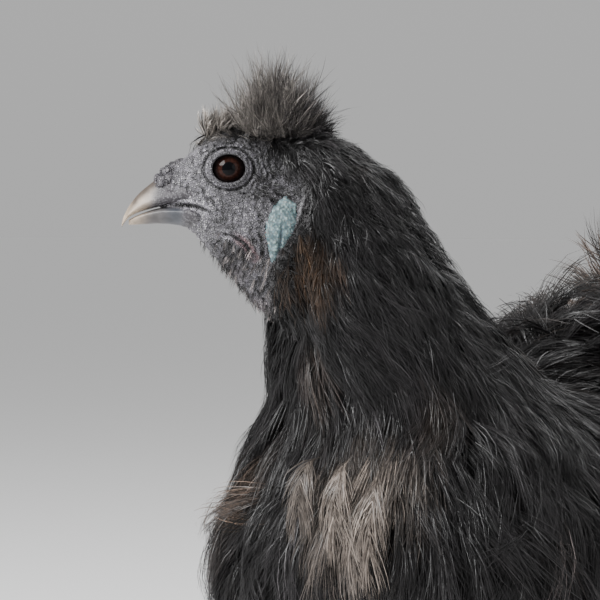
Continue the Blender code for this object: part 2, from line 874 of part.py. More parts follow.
def build_bill(parts, cutters, head):
    frame = head_frame()
    upper = object_from(bill_shape(BILL_UPPER_ROWS, BILL_UPPER_TIP, False), "bill_upper", parts, frame)
    lower = object_from(bill_shape(BILL_LOWER_ROWS, BILL_LOWER_TIP, True), "bill_lower", parts, frame)
    forward, height = NOSTRIL
    for side in (1, -1):
        slope = Matrix.Rotation(NOSTRIL_SLOPE, 4, "X")
        slot = ball((side * NOSTRIL_SIDE, -forward, height), NOSTRIL_SIZE, 8, 6, slope)
        cut_with(upper, object_from(slot, "nostril", cutters, frame))
    keep_clear(upper, cutters, head)
    keep_clear(lower, cutters, head, upper)
    return upper


def build_comb(parts, pieces, cutters, *neighbours):
    """A small walnut comb: warts on a low cushion over the root of the bill."""
    frame = head_frame()
    forward, height = COMB_PLACE
    comb = object_from(ball((0, -forward, height), COMB_SIZE, 12, 8), "comb", parts, frame)
    chance = random.Random(5)
    for index, toward in enumerate(spiral(2 * COMB_WARTS)):
        if toward.z > -0.15:
            place = [toward[i] * COMB_SIZE[i] * WART_DEPTH for i in range(3)]
            radius = chance.uniform(*WART_RADIUS)
            wart = ball((place[0], place[1] - forward, place[2] + height), (radius,) * 3, 8, 5)
            object_from(wart, f"wart_{index}", pieces, frame)
    fuse(comb, pieces, KEPT["comb"])
    keep_clear(comb, cutters, *neighbours)
    return comb


def spiral(count):
    """Unit directions spread evenly over a sphere."""
    for i in range(count):
        height = 1 - 2 * (i + 0.5) / count
        radius = math.sqrt(1 - height * height)
        angle = i * GOLDEN_ANGLE
        yield Vector((radius * math.cos(angle), radius * math.sin(angle), height))


def feather(root, toward, droop, length, width, thick):
    """A flat feather that leaves its root in one direction and bends towards another."""
    points, normals = [], []
    side = toward.cross(droop).normalized()
    for share in (0, 0.4, 0.84, 1):
        points.append(root + (toward * share + droop * share * share * FEATHER_BEND) * length)
        heading = (toward + droop * share * 2 * FEATHER_BEND).normalized()
        normals.append(side.cross(heading).normalized())
    widths = [width * part for part in (0.5, 1.0, 0.85)]
    return blade(points, normals, widths, [thick * part for part in (1, 1, 0.8)])


def build_crest(parts, pieces, cutters, *neighbours):
    """The crest stands feather by feather on the crown, with a lower fringe before it."""
    frame = head_frame()
    forward, height = CREST_PLACE
    crest = object_from(ball((0, -forward, height), CREST_CORE, 14, 8), "crest", parts, frame)
    chance = random.Random(41)
    for index in range(CREST_FEATHERS):
        out = math.sqrt((index + 0.5) / CREST_FEATHERS)
        angle = index * GOLDEN_ANGLE
        across, back = math.cos(angle) * out, math.sin(angle) * out
        root_back, root_side = back * 0.75 * CREST_CORE[1], across * 0.75 * CREST_CORE[0]
        root = head_point(forward - root_back, height + 3 - 3 * out, root_side)
        toward = Vector((across * 0.6, 0.16 + back * 0.42, 1.0 - 0.3 * out)).normalized()
        droop = Vector((across, 0.55 + back * 0.6, -0.4 * out)).normalized()
        length, width, thick = scaled(CREST_FEATHER)
        length *= chance.uniform(0.85, 1.1) * (1 - 0.18 * out)
        object_from(feather(root, toward, droop, length, width, thick), f"crest_{index}", pieces, frame)
    for index in range(FRINGE_FEATHERS):
        across = 2 * (index + 0.5) / FRINGE_FEATHERS - 1
        root = head_point(0.5 - 3 * abs(across), 11, across * FRINGE_HALF)
        toward = Vector((across * 0.55, -0.62, 0.75)).normalized()
        droop = Vector((across * 0.5, 0.5, 0.4)).normalized()
        length, width, thick = scaled(FRINGE_FEATHER)
        length *= chance.uniform(0.85, 1.1)
        object_from(feather(root, toward, droop, length, width, thick), f"fringe_{index}", pieces, frame)
    fuse(crest, pieces, KEPT["crest"])
    keep_clear(crest, cutters, *neighbours)
    return crest


def build_eyes(parts):
    frame = head_frame()
    for name, side in (("eye_left", 1), ("eye_right", -1)):
        object_from(eye_ball(side, EYE_RADIUS), name, parts, frame)


def build_lobes_and_wattles(parts, cutters, *neighbours):
    """Ear lobes hang pointed behind the face, and a small fold hangs at each side of the jaw."""
    frame = head_frame()
    for name, side in (("left", 1), ("right", -1)):
        forward, height = LOBE_PLACE
        across = head_half_width(forward) * 0.97
        shape = ball((0, 0, 0), LOBE_SIZE, 10, 8)
        for vertex in shape.verts:
            down = smooth(-vertex.co.z, 0, LOBE_SIZE[2] * MM)
            vertex.co.y *= 1 - 0.45 * down
            vertex.co.y += vertex.co.z * 0.12
        place = Matrix.Translation(head_point(forward, height, side * across))
        turn = Matrix.Rotation(side * LOBE_TURN, 4, "Z")
        lobe = object_from(shape, "earlobe_" + name, parts, frame @ place @ turn)
        keep_clear(lobe, cutters, *neighbours)
        forward, height = WATTLE_PLACE
        across = head_half_width(forward) * 0.62
        shape = ball((side * across, -forward, height), WATTLE_SIZE, 8, 6)
        wattle = object_from(shape, "wattle_" + name, parts, frame)
        keep_clear(wattle, cutters, *neighbours)


def build_tail(parts, pieces, cutters, torso):
    """A soft cushion of broad feathers in four tiers, fanned up and back."""
    root = vector(TAIL_ROOT)
    turn = Matrix.Rotation(TAIL_TURN, 4, "X")
    tail = object_from(ball(TAIL_MIDDLE, TAIL_CORE, 16, 10, turn), "tail", parts)
    chance = random.Random(53)
    for tier, (count, spread, rise, length, width) in enumerate(TAIL_TIERS):
        for k in range(count):
            yaw = math.radians(spread) * (2 * k / (count - 1) - 1)
            pitch = math.radians(rise) - 0.15 * abs(yaw)
            level = Vector((math.sin(yaw), math.cos(yaw), 0))
            toward = level * math.cos(pitch) + Z_AXIS * math.sin(pitch)
            droop = Vector((math.sin(yaw) * 0.5, 0.35, -0.8)).normalized()
            start = root + toward * TAIL_ROOTS * MM
            size = scaled((length * chance.uniform(0.92, 1.08), width, TAIL_THICK))
            object_from(feather(start, toward, droop, *size), f"tail_{tier}_{k}", pieces)
    fuse(tail, pieces, KEPT["tail"])
    keep_clear(tail, cutters, torso)


def wing_shape(side, surface, share=1.0):
    """The folded wing's body, laid on the plumage's outer surface."""
    rings = []
    for back in WING_STATIONS:
        middle, up, outward = wing_seat(side, back, surface)
        half = wing_half(back) * share * MM
        rings.append(egg_ring(middle, outward, up, WING_BODY * MM, half, half, 0, 8))
    first, last = [wing_seat(side, back, surface)[0] for back in WING_ENDS]
    return loft(rings, first, last)


def wing_seat(side, back, surface):
    """Where the wing's middle lies, with the directions up along the body and out from it."""
    start = vector((0, back, wing_line(back)))
    place, normal = surface.ray_cast(start, Vector((side, 0, 0)))[:2]
    up = (Z_AXIS - normal * normal.z).normalized()
    return place - normal * WING_SUNK * MM, up, normal


def wing_flow(place):
    return Vector((0, 1, -0.27))


def build_wing(name, side, parts, pieces, cutters, torso):
    surface = surface_of(torso_shape(WING_SHARE))
    wing = object_from(wing_shape(side, surface, 0.86), name, parts)
    chance = random.Random(61)
    index = 0
    for back, count, length, width in WING_TIERS:
        for k in range(count):
            across = 2 * (k + 0.5) / count - 1
            height = wing_line(back) + across * wing_half(back) * 0.82
            start = vector((0, back + 4 * across, height))
            root = surface.ray_cast(start, Vector((side, 0, 0)))[0]
            reach = length * chance.uniform(0.94, 1.06) * MM
            points, normals = flowed(surface, root, wing_flow, reach, scaled(VANE_LIFTS), 0.05 * across)
            widths = [width * part * MM for part in (0.6, 1.0, 1.0, 0.7)]
            thicks = [WING_THICK * part * MM for part in (1.4, 1.0, 1.0, 1.0)]
            object_from(blade(points, normals, widths, thicks), f"vane_{index}", pieces)
            index += 1
    fuse(wing, pieces, KEPT["wing"])
    keep_clear(wing, cutters, torso)


def leg_ring(side, height, half, behind, count):
    """A level ring of a leg, standing behind the foot by a distance."""
    wide = half * MM
    place = vector((side * LEG_SIDE, FOOT_BACK + behind, height))
    return egg_ring(place, X_AXIS, Y_AXIS, wide, wide, wide, 0, count)


def leg_point(side, height, behind):
    return vector((side * LEG_SIDE, FOOT_BACK + behind, height))


def build_thigh(name, side, parts, pieces, cutters, torso):
    rings = [leg_ring(side, height, half * THIGH_CORE, behind, 12) for height, half, behind in THIGH_ROWS]
    shape = loft(rings, leg_point(side, *THIGH_TOP), leg_point(side, *THIGH_END))
    surface = surface_of(shape)
    thigh = object_from(shape, "thigh_" + name, parts)
    roots = []
    for tier, (height, behind, count) in enumerate(THIGH_TIERS):
        middle = leg_point(side, height, behind)
        roots += ring_roots(surface, middle, X_AXIS, Y_AXIS, count, 0.5 * (tier % 2))
    # The inner sides of the thighs stay bare, so that the legs keep clear of each other.
    roots = [root for root in roots if root.x * side > (LEG_SIDE - BARE_INSIDE) * MM]

    def measure(root):
        low = 1 - smooth(root.z / MM, 58, 90)
        return scaled(high + (end - high) * low for high, end in zip(THIGH_LOCK, HOCK_LOCK))

    def flow(place):
        return Vector((side * 0.15, 0.25, -1))

    add_locks(surface, roots, flow, measure, pieces, random.Random(71))
    fuse(thigh, pieces, KEPT["thigh"])
    keep_clear(thigh, cutters, torso)
    return thigh


def build_shank(name, side, parts, pieces, cutters, thigh):
    rings = [leg_ring(side, height, half, behind, 10) for height, half, behind in SHANK_ROWS]
    shape = loft(rings, leg_point(side, *SHANK_TOP), leg_point(side, *SHANK_END))
    surface = surface_of(shape)
    shank = object_from(shape, "shank_" + name, parts)
    roots = []
    for height, behind in STUB_TIERS:
        for angle in STUB_ANGLES:
            middle = leg_point(side, height, behind)
            toward = Vector((side * math.cos(angle), math.sin(angle), 0))
            hit = surface.ray_cast(middle, toward)[0]
            roots.append((hit, toward))
    for index, (root, toward) in enumerate(roots):
        droop = Vector((0, 0.1, -1))
        start = root - toward * STUB_DEPTH * MM
        size = scaled(STUB_SIZE)
        heading = (toward * 0.6 + Vector((0, 0, -0.8))).normalized()
        object_from(feather(start, heading, droop, *size), f"stub_{index}", pieces)
    fuse(shank, pieces, KEPT["shank"])
    keep_clear(shank, cutters, thigh)
    return shank


def on_floor(point):
    """A point of the foot, pressed flat where it would sink below the floor."""
    return Vector((point.x, point.y, max(point.z, 0.0)))


def build_foot(name, side, parts, cutters, shank):
    centre = Matrix.Translation(leg_point(side, 0, 0)) @ Matrix.Rotation(side * FOOT_TURN, 4, "Z")
    shape = ball((0, 0, PAD_HEIGHT), PAD_SIZE, 12, 8)
    for vertex in shape.verts:
        vertex.co = on_floor(vertex.co)
    bmesh.ops.dissolve_degenerate(shape, edges=shape.edges, dist=0.05 * MM)
    pad = object_from(shape, "foot_" + name, parts, centre)
    keep_clear(pad, cutters, shank)
    done = [shank, pad]
    for number, (heading, length, root_half, end_half) in TOES.items():
        turn = centre @ Matrix.Rotation(side * math.radians(heading), 4, "Z")
        toe, claw = toe_shapes(number, length, root_half, end_half)
        toe = object_from(toe, f"toe_{name}_{number}", parts, turn)
        keep_clear(toe, cutters, *done)
        claw = object_from(claw, f"claw_{name}_{number}", parts, turn)
        keep_clear(claw, cutters, toe)
        done.append(toe)


def toe_shapes(number, length, root_half, end_half):
    """One toe with its claw, pointing ahead from the middle of the foot."""
    raised = number == RAISED_TOE
    rings = []
    start = 3.0
    for i in range(TOE_RINGS):
        share = i / (TOE_RINGS - 1)
        # Each joint of the toe swells a little over its pad.
        half = root_half + (end_half - root_half) * share + 0.3 * math.cos(share * math.tau * 2)
        place = toe_point(raised, start + (length - start) * share, share, half)
        wide = half * MM
        ring = egg_ring(place, X_AXIS, Z_AXIS, wide, wide, wide, 0, TOE_SIDES, 0.5)
        rings.append([on_floor(point) for point in ring])
    end = toe_point(raised, length + end_half * 0.8, 1, end_half)
    toe = loft(rings, toe_point(raised, start - 1, 0, root_half), end)
    claw_rings = []
    for i in range(CLAW_RINGS):
        share = i / CLAW_RINGS
        half = end_half * 0.72 * (1 - share) ** 0.8 + 0.25
        forward = length - 0.5 + (CLAW_LENGTH + 1) * share
        place = toe_point(raised, forward, 1, end_half) + claw_curve(raised, share)
        half *= MM
        ring = egg_ring(place, X_AXIS, Z_AXIS, half * 0.8, half, half, 0, 6)
        claw_rings.append([Vector((p.x, p.y, max(p.z, CLAW_FLOOR * MM))) for p in ring])
    base = toe_point(raised, length - 1.2, 1, end_half)
    tip = toe_point(raised, length + CLAW_LENGTH, 1, end_half) + claw_curve(raised, 1)
    tip.z = max(tip.z, CLAW_FLOOR * MM)
    return toe, loft(claw_rings, base, tip)


def claw_curve(raised, share):
    """How far the claw has bent down, or up on the raised toe, at a share of its length."""
    bend = 3.5 if raised else 1.0
    return Vector((0, 0, (bend * share - (0 if raised else 3.2) * share * share) * MM))


def toe_point(raised, forward, share, half):
    """The toe's middle: just above the floor, or in a rising curve on the raised toe."""
    height = RAISED_ROOT + RAISED_RISE * share * share if raised else half * SOLE_SINK
    return vector((0, -forward, height))


def centre_on_floor(parts):
    """Shifts every node so that the middle of the whole model's box stands over the origin."""
    corners = [thing.matrix_world @ vertex.co for thing in parts.objects for vertex in thing.data.vertices]
    low = Vector([min(corner[i] for corner in corners) for i in range(3)])
    high = Vector([max(corner[i] for corner in corners) for i in range(3)])
    shift = Matrix.Translation((-(low.x + high.x) / 2, -(low.y + high.y) / 2, -low.z))
    for thing in parts.objects:
        thing.data.transform(shift)


MATERIALS = {
    "plumage": (("torso", "neck", "crest", "tail", "wing", "thigh"), (0.022, 0.020, 0.021), 0.75),
    "face_skin": (("head", "comb", "wattle"), (0.075, 0.068, 0.085), 0.6),
    "ear_lobe": (("earlobe",), (0.22, 0.33, 0.36), 0.6),
    "bill": (("bill",), (0.16, 0.15, 0.15), 0.4),
    "eye": (("eye",), (0.03, 0.008, 0.006), 0.1),
    "leg_skin": (("shank", "foot", "toe"), (0.035, 0.035, 0.042), 0.6),
    "claw": (("claw",), (0.09, 0.085, 0.08), 0.45),
}


def paint(parts):
    for name, (stems, colour, roughness) in MATERIALS.items():
        material = make_material(name, colour, roughness)
        for thing in parts.objects:
            if thing.name.split("_")[0] in stems:
                thing.data.materials.clear()
                thing.data.materials.append(material)


def main():
    clear_scene()
    parts = make_collection("silkie_hen")
    pieces = make_collection("pieces_to_fuse")
    cutters = make_collection("cutters")
    torso = build_torso(parts, pieces)
    neck = build_neck(parts, pieces)
    keep_clear(neck, cutters, torso)
    head = build_head(parts, pieces, cutters, neck)
    crest = build_crest(parts, pieces, cutters, head, neck)
    upper = build_bill(parts, cutters, head)
    comb = build_comb(parts, pieces, cutters, head, upper)
    keep_clear(comb, cutters, crest)
    build_eyes(parts)
    build_lobes_and_wattles(parts, cutters, head, neck)
    build_tail(parts, pieces, cutters, torso)
    for name, side in (("left", 1), ("right", -1)):
        build_wing("wing_" + name, side, parts, pieces, cutters, torso)
        thigh = build_thigh(name, side, parts, pieces, cutters, torso)
        shank = build_shank(name, side, parts, pieces, cutters, thigh)
        build_foot(name, side, parts, cutters, shank)
    centre_on_floor(parts)
    paint(parts)


main()
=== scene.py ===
"""Looks of a black silkie hen, life size, standing with her head turned to her right.

One skin stands for the nodes of flesh, and the coat is thousands of loose silky plumes that follow its lie.
The tables are in millimetres in the hen's own frame: she faces -Y, her left side is +X, the floor is z = 0.
The head has a frame of its own, midway between the eyes, in which she looks along -Y before it is turned.
"""

import math

import bpy
import numpy as np
import openvdb as vdb
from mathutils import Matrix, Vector


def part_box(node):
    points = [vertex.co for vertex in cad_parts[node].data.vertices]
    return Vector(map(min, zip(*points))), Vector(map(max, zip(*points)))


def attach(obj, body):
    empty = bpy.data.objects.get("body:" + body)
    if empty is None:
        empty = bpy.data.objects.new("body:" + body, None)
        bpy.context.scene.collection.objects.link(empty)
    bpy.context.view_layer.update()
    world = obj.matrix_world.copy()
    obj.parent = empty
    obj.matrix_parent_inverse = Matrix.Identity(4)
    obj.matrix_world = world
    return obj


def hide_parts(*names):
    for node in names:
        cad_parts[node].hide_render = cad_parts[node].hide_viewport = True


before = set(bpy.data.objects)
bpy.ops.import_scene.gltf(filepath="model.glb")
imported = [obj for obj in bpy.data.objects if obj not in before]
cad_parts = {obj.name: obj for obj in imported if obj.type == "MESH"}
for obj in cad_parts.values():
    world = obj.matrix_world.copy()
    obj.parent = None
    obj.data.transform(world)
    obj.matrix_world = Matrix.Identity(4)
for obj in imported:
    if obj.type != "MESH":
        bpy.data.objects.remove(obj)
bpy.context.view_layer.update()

MM = 0.001
SIDES = (("left", 1), ("right", -1))
UPRIGHT = (0, 0, 1)

# The head's place and turn, and the eyes in the head's frame.
HEAD_PLACE = np.array((-33.6, -107.4, 262.0))
HEAD_TURN = math.radians(-58)
EYE_SIDE = 7.2
EYE_RADIUS = 6.0
LID_OPENING = (4.9, 4.15)
LID_THICK = 0.9
LID_RIM = 5.6

# Torso: place along the back, top, underside, half width.
TORSO_ROWS = (
    (-112, 172, 114, 31),
    (-100, 186, 99, 49),
    (-80, 197, 86, 64),
    (-52, 203, 75, 76),
    (-20, 203, 67, 83),
    (15, 204, 62, 87),
    (48, 211, 62, 85),
    (76, 220, 72, 74),
    (96, 221, 94, 57),
    (110, 212, 124, 36),
)
TORSO_FRONT = (-118, 144)
TORSO_REAR = (118, 170)
TORSO_SKIN = 0.78
# How softly neck, tail, thighs and head grow out of the torso.
NECK_BLEND, TAIL_BLEND, THIGH_BLEND, HEAD_BLEND = 16, 20, 14, 8

# Neck: centre x, y, height and half width of each level ring.
NECK_ROWS = (
    (0, -46, 152, 50),
    (0, -48, 168, 58),
    (-1, -52, 180, 52),
    (-1, -57, 191, 46),
    (-3, -63, 203, 41.5),
    (-5, -71, 217, 36.5),
    (-7, -79, 232, 31.5),
    (-8, -85, 247, 26),
    (-10, -90, 259, 22),
    (-13, -94, 268, 16),
)
NECK_SKIN = 0.72

# Head: forward of the eyes, top, underside, half width.
HEAD_ROWS = (
    (21.0, -5.0, -12.5, 0.8),
    (18.5, -2.5, -14.0, 4.2),
    (15.5, 1.5, -16.0, 6.5),
    (12.0, 5.0, -18.2, 8.6),
    (8.0, 8.6, -22.4, 10.4),
    (3.0, 11.2, -28.2, 12.0),
    (-3.0, 12.6, -35.0, 13.0),
    (-9.0, 13.4, -43.0, 14.2),
    (-15.0, 13.4, -48.0, 15.6),
    (-21.0, 12.4, -47.0, 16.6),
    (-27.0, 9.6, -36.0, 16.0),
    (-33.0, 4.5, -24.0, 12.6),
    (-37.0, -7.0, -9.0, 1.0),
)
HEAD_LEAN = 0.28
HEAD_SKIN = 0.83

# Outline of the bare face on each side of the head: forward of the eyes, height.
FACE_OUTLINE = (
    (24.0, -4.0),
    (12.8, 5.3),
    (6.5, 8.4),
    (1.2, 9.6),
    (-5.0, 9.4),
    (-11.0, 7.3),
    (-18.0, 1.6),
    (-22.0, -3.0),
    (-22.6, -9.2),
    (-21.0, -15.0),
    (-16.5, -24.0),
    (-12.0, -30.5),
    (-13.0, -46.0),
    (-4.0, -48.0),
    (2.0, -34.0),
    (14.0, -22.0),
    (24.0, -18.0),
)
MOUTH_LINE = ((22.0, -11.0), (17.5, -10.8), (14.7, -10.7), (9.8, -11.3), (6.8, -12.4), (4.9, -13.4))
LORE_CREASE = ((11.0, -1.5), (8.6, -4.8), (6.0, -8.0), (4.2, -11.5), (3.6, -14.5))
JAW_FOLD = ((3.0, -19.0), (-1.5, -20.2), (-5.0, -22.5), (-7.5, -26.5))
LOBE_FOLD = ((-23.0, -7.5), (-20.8, -14.5), (-17.0, -21.5), (-12.6, -28.0))
CHEEK_FOLD = ((-8.5, -17.0), (-10.0, -22.0), (-10.0, -28.0))
# Each fold stands up beside its line and has a crease on it: height, distance, width, then depth and width.
FOLDS = (
    (JAW_FOLD, 0.7, 0.9, 0.7, 0.8, 0.45),
    (CHEEK_FOLD, 0.35, 1.0, 0.7, 0.45, 0.5),
    (LOBE_FOLD, 0.7, 0.0, 0.6, 0.0, 0.5),
)
EAR_PLACE = (-13.0, -4.5)
THROAT_PALE = (-9.5, -42.5)

# Bill: forward of the eyes, top, underside, half width.
BILL_UPPER_ROWS = (
    (11.0, 3.4, -10.4, 8.2),
    (12.5, 2.8, -10.6, 7.9),
    (16.0, 0.9, -10.7, 6.8),
    (20.0, -1.5, -11.0, 5.3),
    (24.0, -4.4, -11.9, 4.1),
    (27.5, -7.4, -13.0, 3.1),
    (30.2, -10.8, -14.4, 2.2),
    (31.8, -13.8, -16.2, 1.4),
    (32.5, -16.0, -17.4, 0.7),
)
BILL_LOWER_ROWS = (
    (9.5, -11.4, -18.4, 7.6),
    (11.0, -11.4, -18.0, 7.2),
    (16.0, -11.3, -16.8, 5.6),
    (21.0, -11.6, -16.4, 4.1),
    (25.0, -12.7, -16.5, 3.0),
    (28.0, -13.9, -16.6, 1.9),
    (30.4, -15.2, -16.7, 0.6),
)
NOSTRIL = (17.4, -5.9)
# Parts of the bill: node, rows, whether it is the upper one, and where its bare skin gives way to horn.
BILL_PARTS = (
    ("bill_upper", BILL_UPPER_ROWS, True, (19.5, 24.0)),
    ("bill_lower", BILL_LOWER_ROWS, False, (12.5, 15.5)),
)

COMB_PLACE = (16.7, -2.8)
COMB_SIZE = (5.6, 7.8, 5.2)
COMB_SLOPE = math.radians(38)
COMB_CORE = 0.84
COMB_WARTS = 90

LOBE_PLACE = (-15.2, -18.0)
LOBE_SIZE = (1.8, 4.6, 9.8)
LOBE_TILT = 0.24

CREST_PLACE = (-15.8, 13.0)
CREST_HALF = (11.5, 15.5)
CREST_PLUMES = 1050
FRINGE_PLUMES = 260

TAIL_ROOT = np.array((0.0, 94.0, 196.0))
TAIL_MIDDLE = np.array((0.0, 104.0, 206.0))
TAIL_CORE = np.array((24.0, 21.0, 18.0))
TAIL_SKIN = 0.8
TAIL_STRANDS = 47
TAIL_COAT = 1.35
# Tail tiers: feathers, half spread, rise in degrees, length, half width.
TAIL_TIERS = (
    (12, 80, -16, 40, 13),
    (11, 76, 2, 46, 13),
    (12, 74, 20, 52, 14),
    (12, 70, 38, 57, 15),
    (10, 62, 56, 60, 15),
    (9, 52, 74, 58, 14),
    (7, 44, 92, 50, 13),
    (6, 60, 114, 44, 13),
)

WING_FRONT = -30
WING_REAR = 98
WING_TOP_FRONT = 160
WING_SLOPE = 0.27
WING_HALF = 27

LEG_SIDE = 36
FOOT_BACK = 2
FOOT_TURN = math.radians(8)
# Thigh and shank: height, half width, distance behind the middle of the foot.
THIGH_ROWS = ((124, 26, 3), (112, 30, 4), (96, 32, 6), (80, 30, 9), (66, 24, 12), (55, 15, 15), (49, 6, 17))
THIGH_SKIN = 0.76
SHANK_ROWS = ((62, 6.0, 18.6), (50, 5.4, 15), (39, 4.3, 10.5), (26, 4.1, 6), (15, 4.7, 2.2), (9, 5.0, 0))
SHANK_SKIN = 0.92
SHANK_PLATE = 4.2
TOE_PLATE = 3.1
LEG_PLUMES = 250
PAD_HEIGHT = 5.0
PAD_SIZE = (8.2, 9.0, 5.6)
# Toes by number: heading from straight ahead towards the outside, length, half thickness at root and end.
TOES = {
    3: (0, 44, 4.1, 2.9),
    2: (-34, 33, 3.8, 2.7),
    4: (33, 36, 3.7, 2.6),
    1: (-163, 18, 3.2, 2.4),
    5: (-146, 24, 3.0, 2.3),
}
RAISED_TOE = 5
RAISED_ROOT = 9.5
RAISED_RISE = 11
SOLE_SINK = 0.82
CLAW_LENGTH = 9
CLAW_RINGS = 24
CLAW_SIDES = 20

# The camera stands level with the neck and takes in head, neck and breast, as in the photograph.
VIEW_AZIMUTH = 32
VIEW_ELEVATION = 1.5
VIEW_DISTANCE = 870
VIEW_HALF = 89.1
VIEW_CENTRE = np.array((-9.0, -106.9, 223.0))
SENSOR = 36
LIT_PLACE = (-5, -60, 200)
# Lamps: bearing round the hen and up in degrees, distance and size in metres, watts.
LAMPS = {"key": (-24, 36, 1.5, 0.9, 58), "fill": (75, 15, 1.8, 1.4, 8), "rim": (150, 50, 1.5, 0.9, 20)}
# Strength of the surround at the sides, and how much brighter it is overhead.
SURROUND = 0.5
OVERHEAD = 1.26
FLOOR_REACH = 40.0
FLOOR_TINT = (0.85, 0.85, 0.85)

# Steps of the lattices on which the surfaces are made, and how many of them a field reaches out.
BODY_VOXEL = 2.0
HEAD_VOXEL = 0.45
LEG_VOXEL = 0.7
FINE_VOXEL = 0.3
BAND = 14
BODY_LOW, BODY_HIGH = (-104, -150, 32), (104, 144, 304)
HEAD_LOW, HEAD_HIGH = (-24, -24, -60), (24, 43, 24)

# Points along a strand of the coat, and the size of its strip on the map.
STRAND_POINTS = 5
STRIP_SIZE = 0.003


def turned(points, angle):
    """Points turned about the upright axis."""
    c, s = math.cos(angle), math.sin(angle)
    x, y, z = np.moveaxis(np.asarray(points, float), -1, 0)
    return np.stack((x * c - y * s, x * s + y * c, z), -1)


def from_head(points):
    """Head frame to the hen's frame."""
    return turned(points, HEAD_TURN) + HEAD_PLACE


def to_head(points):
    return turned(np.asarray(points, float) - HEAD_PLACE, -HEAD_TURN)


def head_place(forward, height, side=0.0):
    return np.array((side, -forward, height), float)


# The solids stand centred on the floor, so the eyes tell how far the hen's frame is moved.
EYE_LOW, EYE_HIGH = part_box("eye_left")
SHIFT = np.array((EYE_LOW + EYE_HIGH) / 2) / MM - from_head((EYE_SIDE, 0.0, 0.0))


def in_metres(points):
    return (np.asarray(points) + SHIFT) * MM


def unit(vectors):
    return vectors / np.maximum(np.linalg.norm(vectors, axis=-1, keepdims=True), 1e-9)


def rise(value, low, high):
    """0 up to low, 1 from high on, with a soft rise between."""
    share = np.clip((np.asarray(value, float) - low) / (high - low), 0, 1)
    return share * share * (3 - 2 * share)


def bump(value, width):
    return np.exp(-(np.asarray(value) / width) ** 2)


def ripple(points, wave, seed, count=7):
    """Soft noise between about -1 and 1, from waves in seeded directions."""
    source = np.random.default_rng(seed)
    total = np.zeros(points.shape[:-1])
    for _ in range(count):
        heading = unit(source.normal(size=3)) * math.tau / (wave * source.uniform(0.6, 1.6))
        total += np.sin(points @ heading + source.uniform(0, math.tau))
    return total / math.sqrt(count)


def smooth_union(one, other, soft):
    """The lesser of two fields, blended where they are close."""
    mix = np.maximum(soft - np.abs(one - other), 0) / soft
    return np.minimum(one, other) - mix * mix * soft / 4


def finer(rows, steps=8):
    """Rows of a table with soft steps between them."""
    rows = np.array(rows, float)
    ends = np.concatenate((rows[:1] * 2 - rows[1:2], rows, rows[-1:] * 2 - rows[-2:-1]))
    made = []
    for a, b, c, d in zip(ends, ends[1:], ends[2:], ends[3:]):
        for t in np.arange(steps) / steps:
            curve = 2 * b + (c - a) * t + (2 * a - 5 * b + 4 * c - d) * t**2
            made.append(0.5 * (curve + (3 * b - a - 3 * c + d) * t**3))
    made.append(rows[-1])
    return np.array(made)


def limb(rows, side):
    """Level rings of a thigh or a shank: height, centre x, centre y, half width."""
    return finer([(z, side * LEG_SIDE, FOOT_BACK + behind, half) for z, half, behind in rows], 4)


def read_rows(rows, place):
    """The columns of a table at each place along its first column."""
    rows = rows[np.argsort(rows[:, 0])]
    return [np.interp(place, rows[:, 0], rows[:, k]) for k in range(1, rows.shape[1])]


def with_ends(rows, front, rear):
    """Torso rows closed by rounded ends."""
    made = list(rows)
    for end, row, before in ((front, rows[0], True), (rear, rows[-1], False)):
        closing = []
        for share in (0.45, 0.75, 0.93, 1.0):
            left = max(math.sqrt(1 - share * share), 0.02)
            middle = (row[1] + row[2]) / 2 * (1 - share) + end[1] * share
            half = (row[1] - row[2]) / 2 * left
            closing.append((row[0] + (end[0] - row[0]) * share, middle + half, middle - half, row[3] * left))
        made = closing[::-1] + made if before else made + closing
    return made


TORSO_TABLE = finer(with_ends(TORSO_ROWS, TORSO_FRONT, TORSO_REAR), 4)
TORSO_MIDDLE = (TORSO_FRONT[0] + TORSO_REAR[0]) / 2
TORSO_LENGTH = TORSO_REAR[0] - TORSO_FRONT[0]
NECK_TABLE = finer([(z, x, y, half) for x, y, z, half in NECK_ROWS])
HEAD_TABLE = finer(HEAD_ROWS, 6)


def torso_field(points, share):
    reach = math.sqrt(share)
    top, under, wide = read_rows(TORSO_TABLE, TORSO_MIDDLE + (points[..., 1] - TORSO_MIDDLE) / reach)
    middle, half = (top + under) / 2, (top - under) / 2 * share
    wide = wide * share
    radius = np.hypot(points[..., 0] / wide, (points[..., 2] - middle) / half)
    past = np.abs(points[..., 1] - TORSO_MIDDLE) - TORSO_LENGTH / 2 * reach
    return np.maximum((radius - 1) * np.minimum(wide, half), past)


def level_field(points, table, share):
    """Field of a body given by level rings: height, centre x, centre y, half width."""
    height = points[..., 2]
    x, y, half = read_rows(table, height)
    half = half * share
    across = np.hypot(points[..., 0] - x, points[..., 1] - y) - half
    past = np.maximum(table[:, 0].min() - height, height - table[:, 0].max())
    return np.maximum(across, past)


def head_field(points, core=HEAD_SKIN):
    """Field of the head in its own frame, drawn in by core behind the bare face."""
    forward = -points[..., 1]
    top, under, wide = read_rows(HEAD_TABLE, forward)
    share = core + (1 - core) * rise(forward, -22, -4)
    middle = (top + under) / 2 * np.where(forward < 0, 1.0, 0.6 + 0.4 * rise(-forward, -6, 0))
    up = np.maximum((top - middle) * share, 0.3)
    down = np.maximum((middle - under) * share, 0.3)
    height = points[..., 2] - middle
    level = height / np.where(height > 0, up, down)
    across = points[..., 0] / (wide * share * (1 + HEAD_LEAN * np.clip(level, -1, 1)))
    radius = np.hypot(across, level)
    field = (radius - 1) * np.minimum(np.minimum(wide * share, up), down)
    past = np.maximum(forward - HEAD_ROWS[0][0], HEAD_ROWS[-1][0] - forward)
    return np.maximum(field, past)


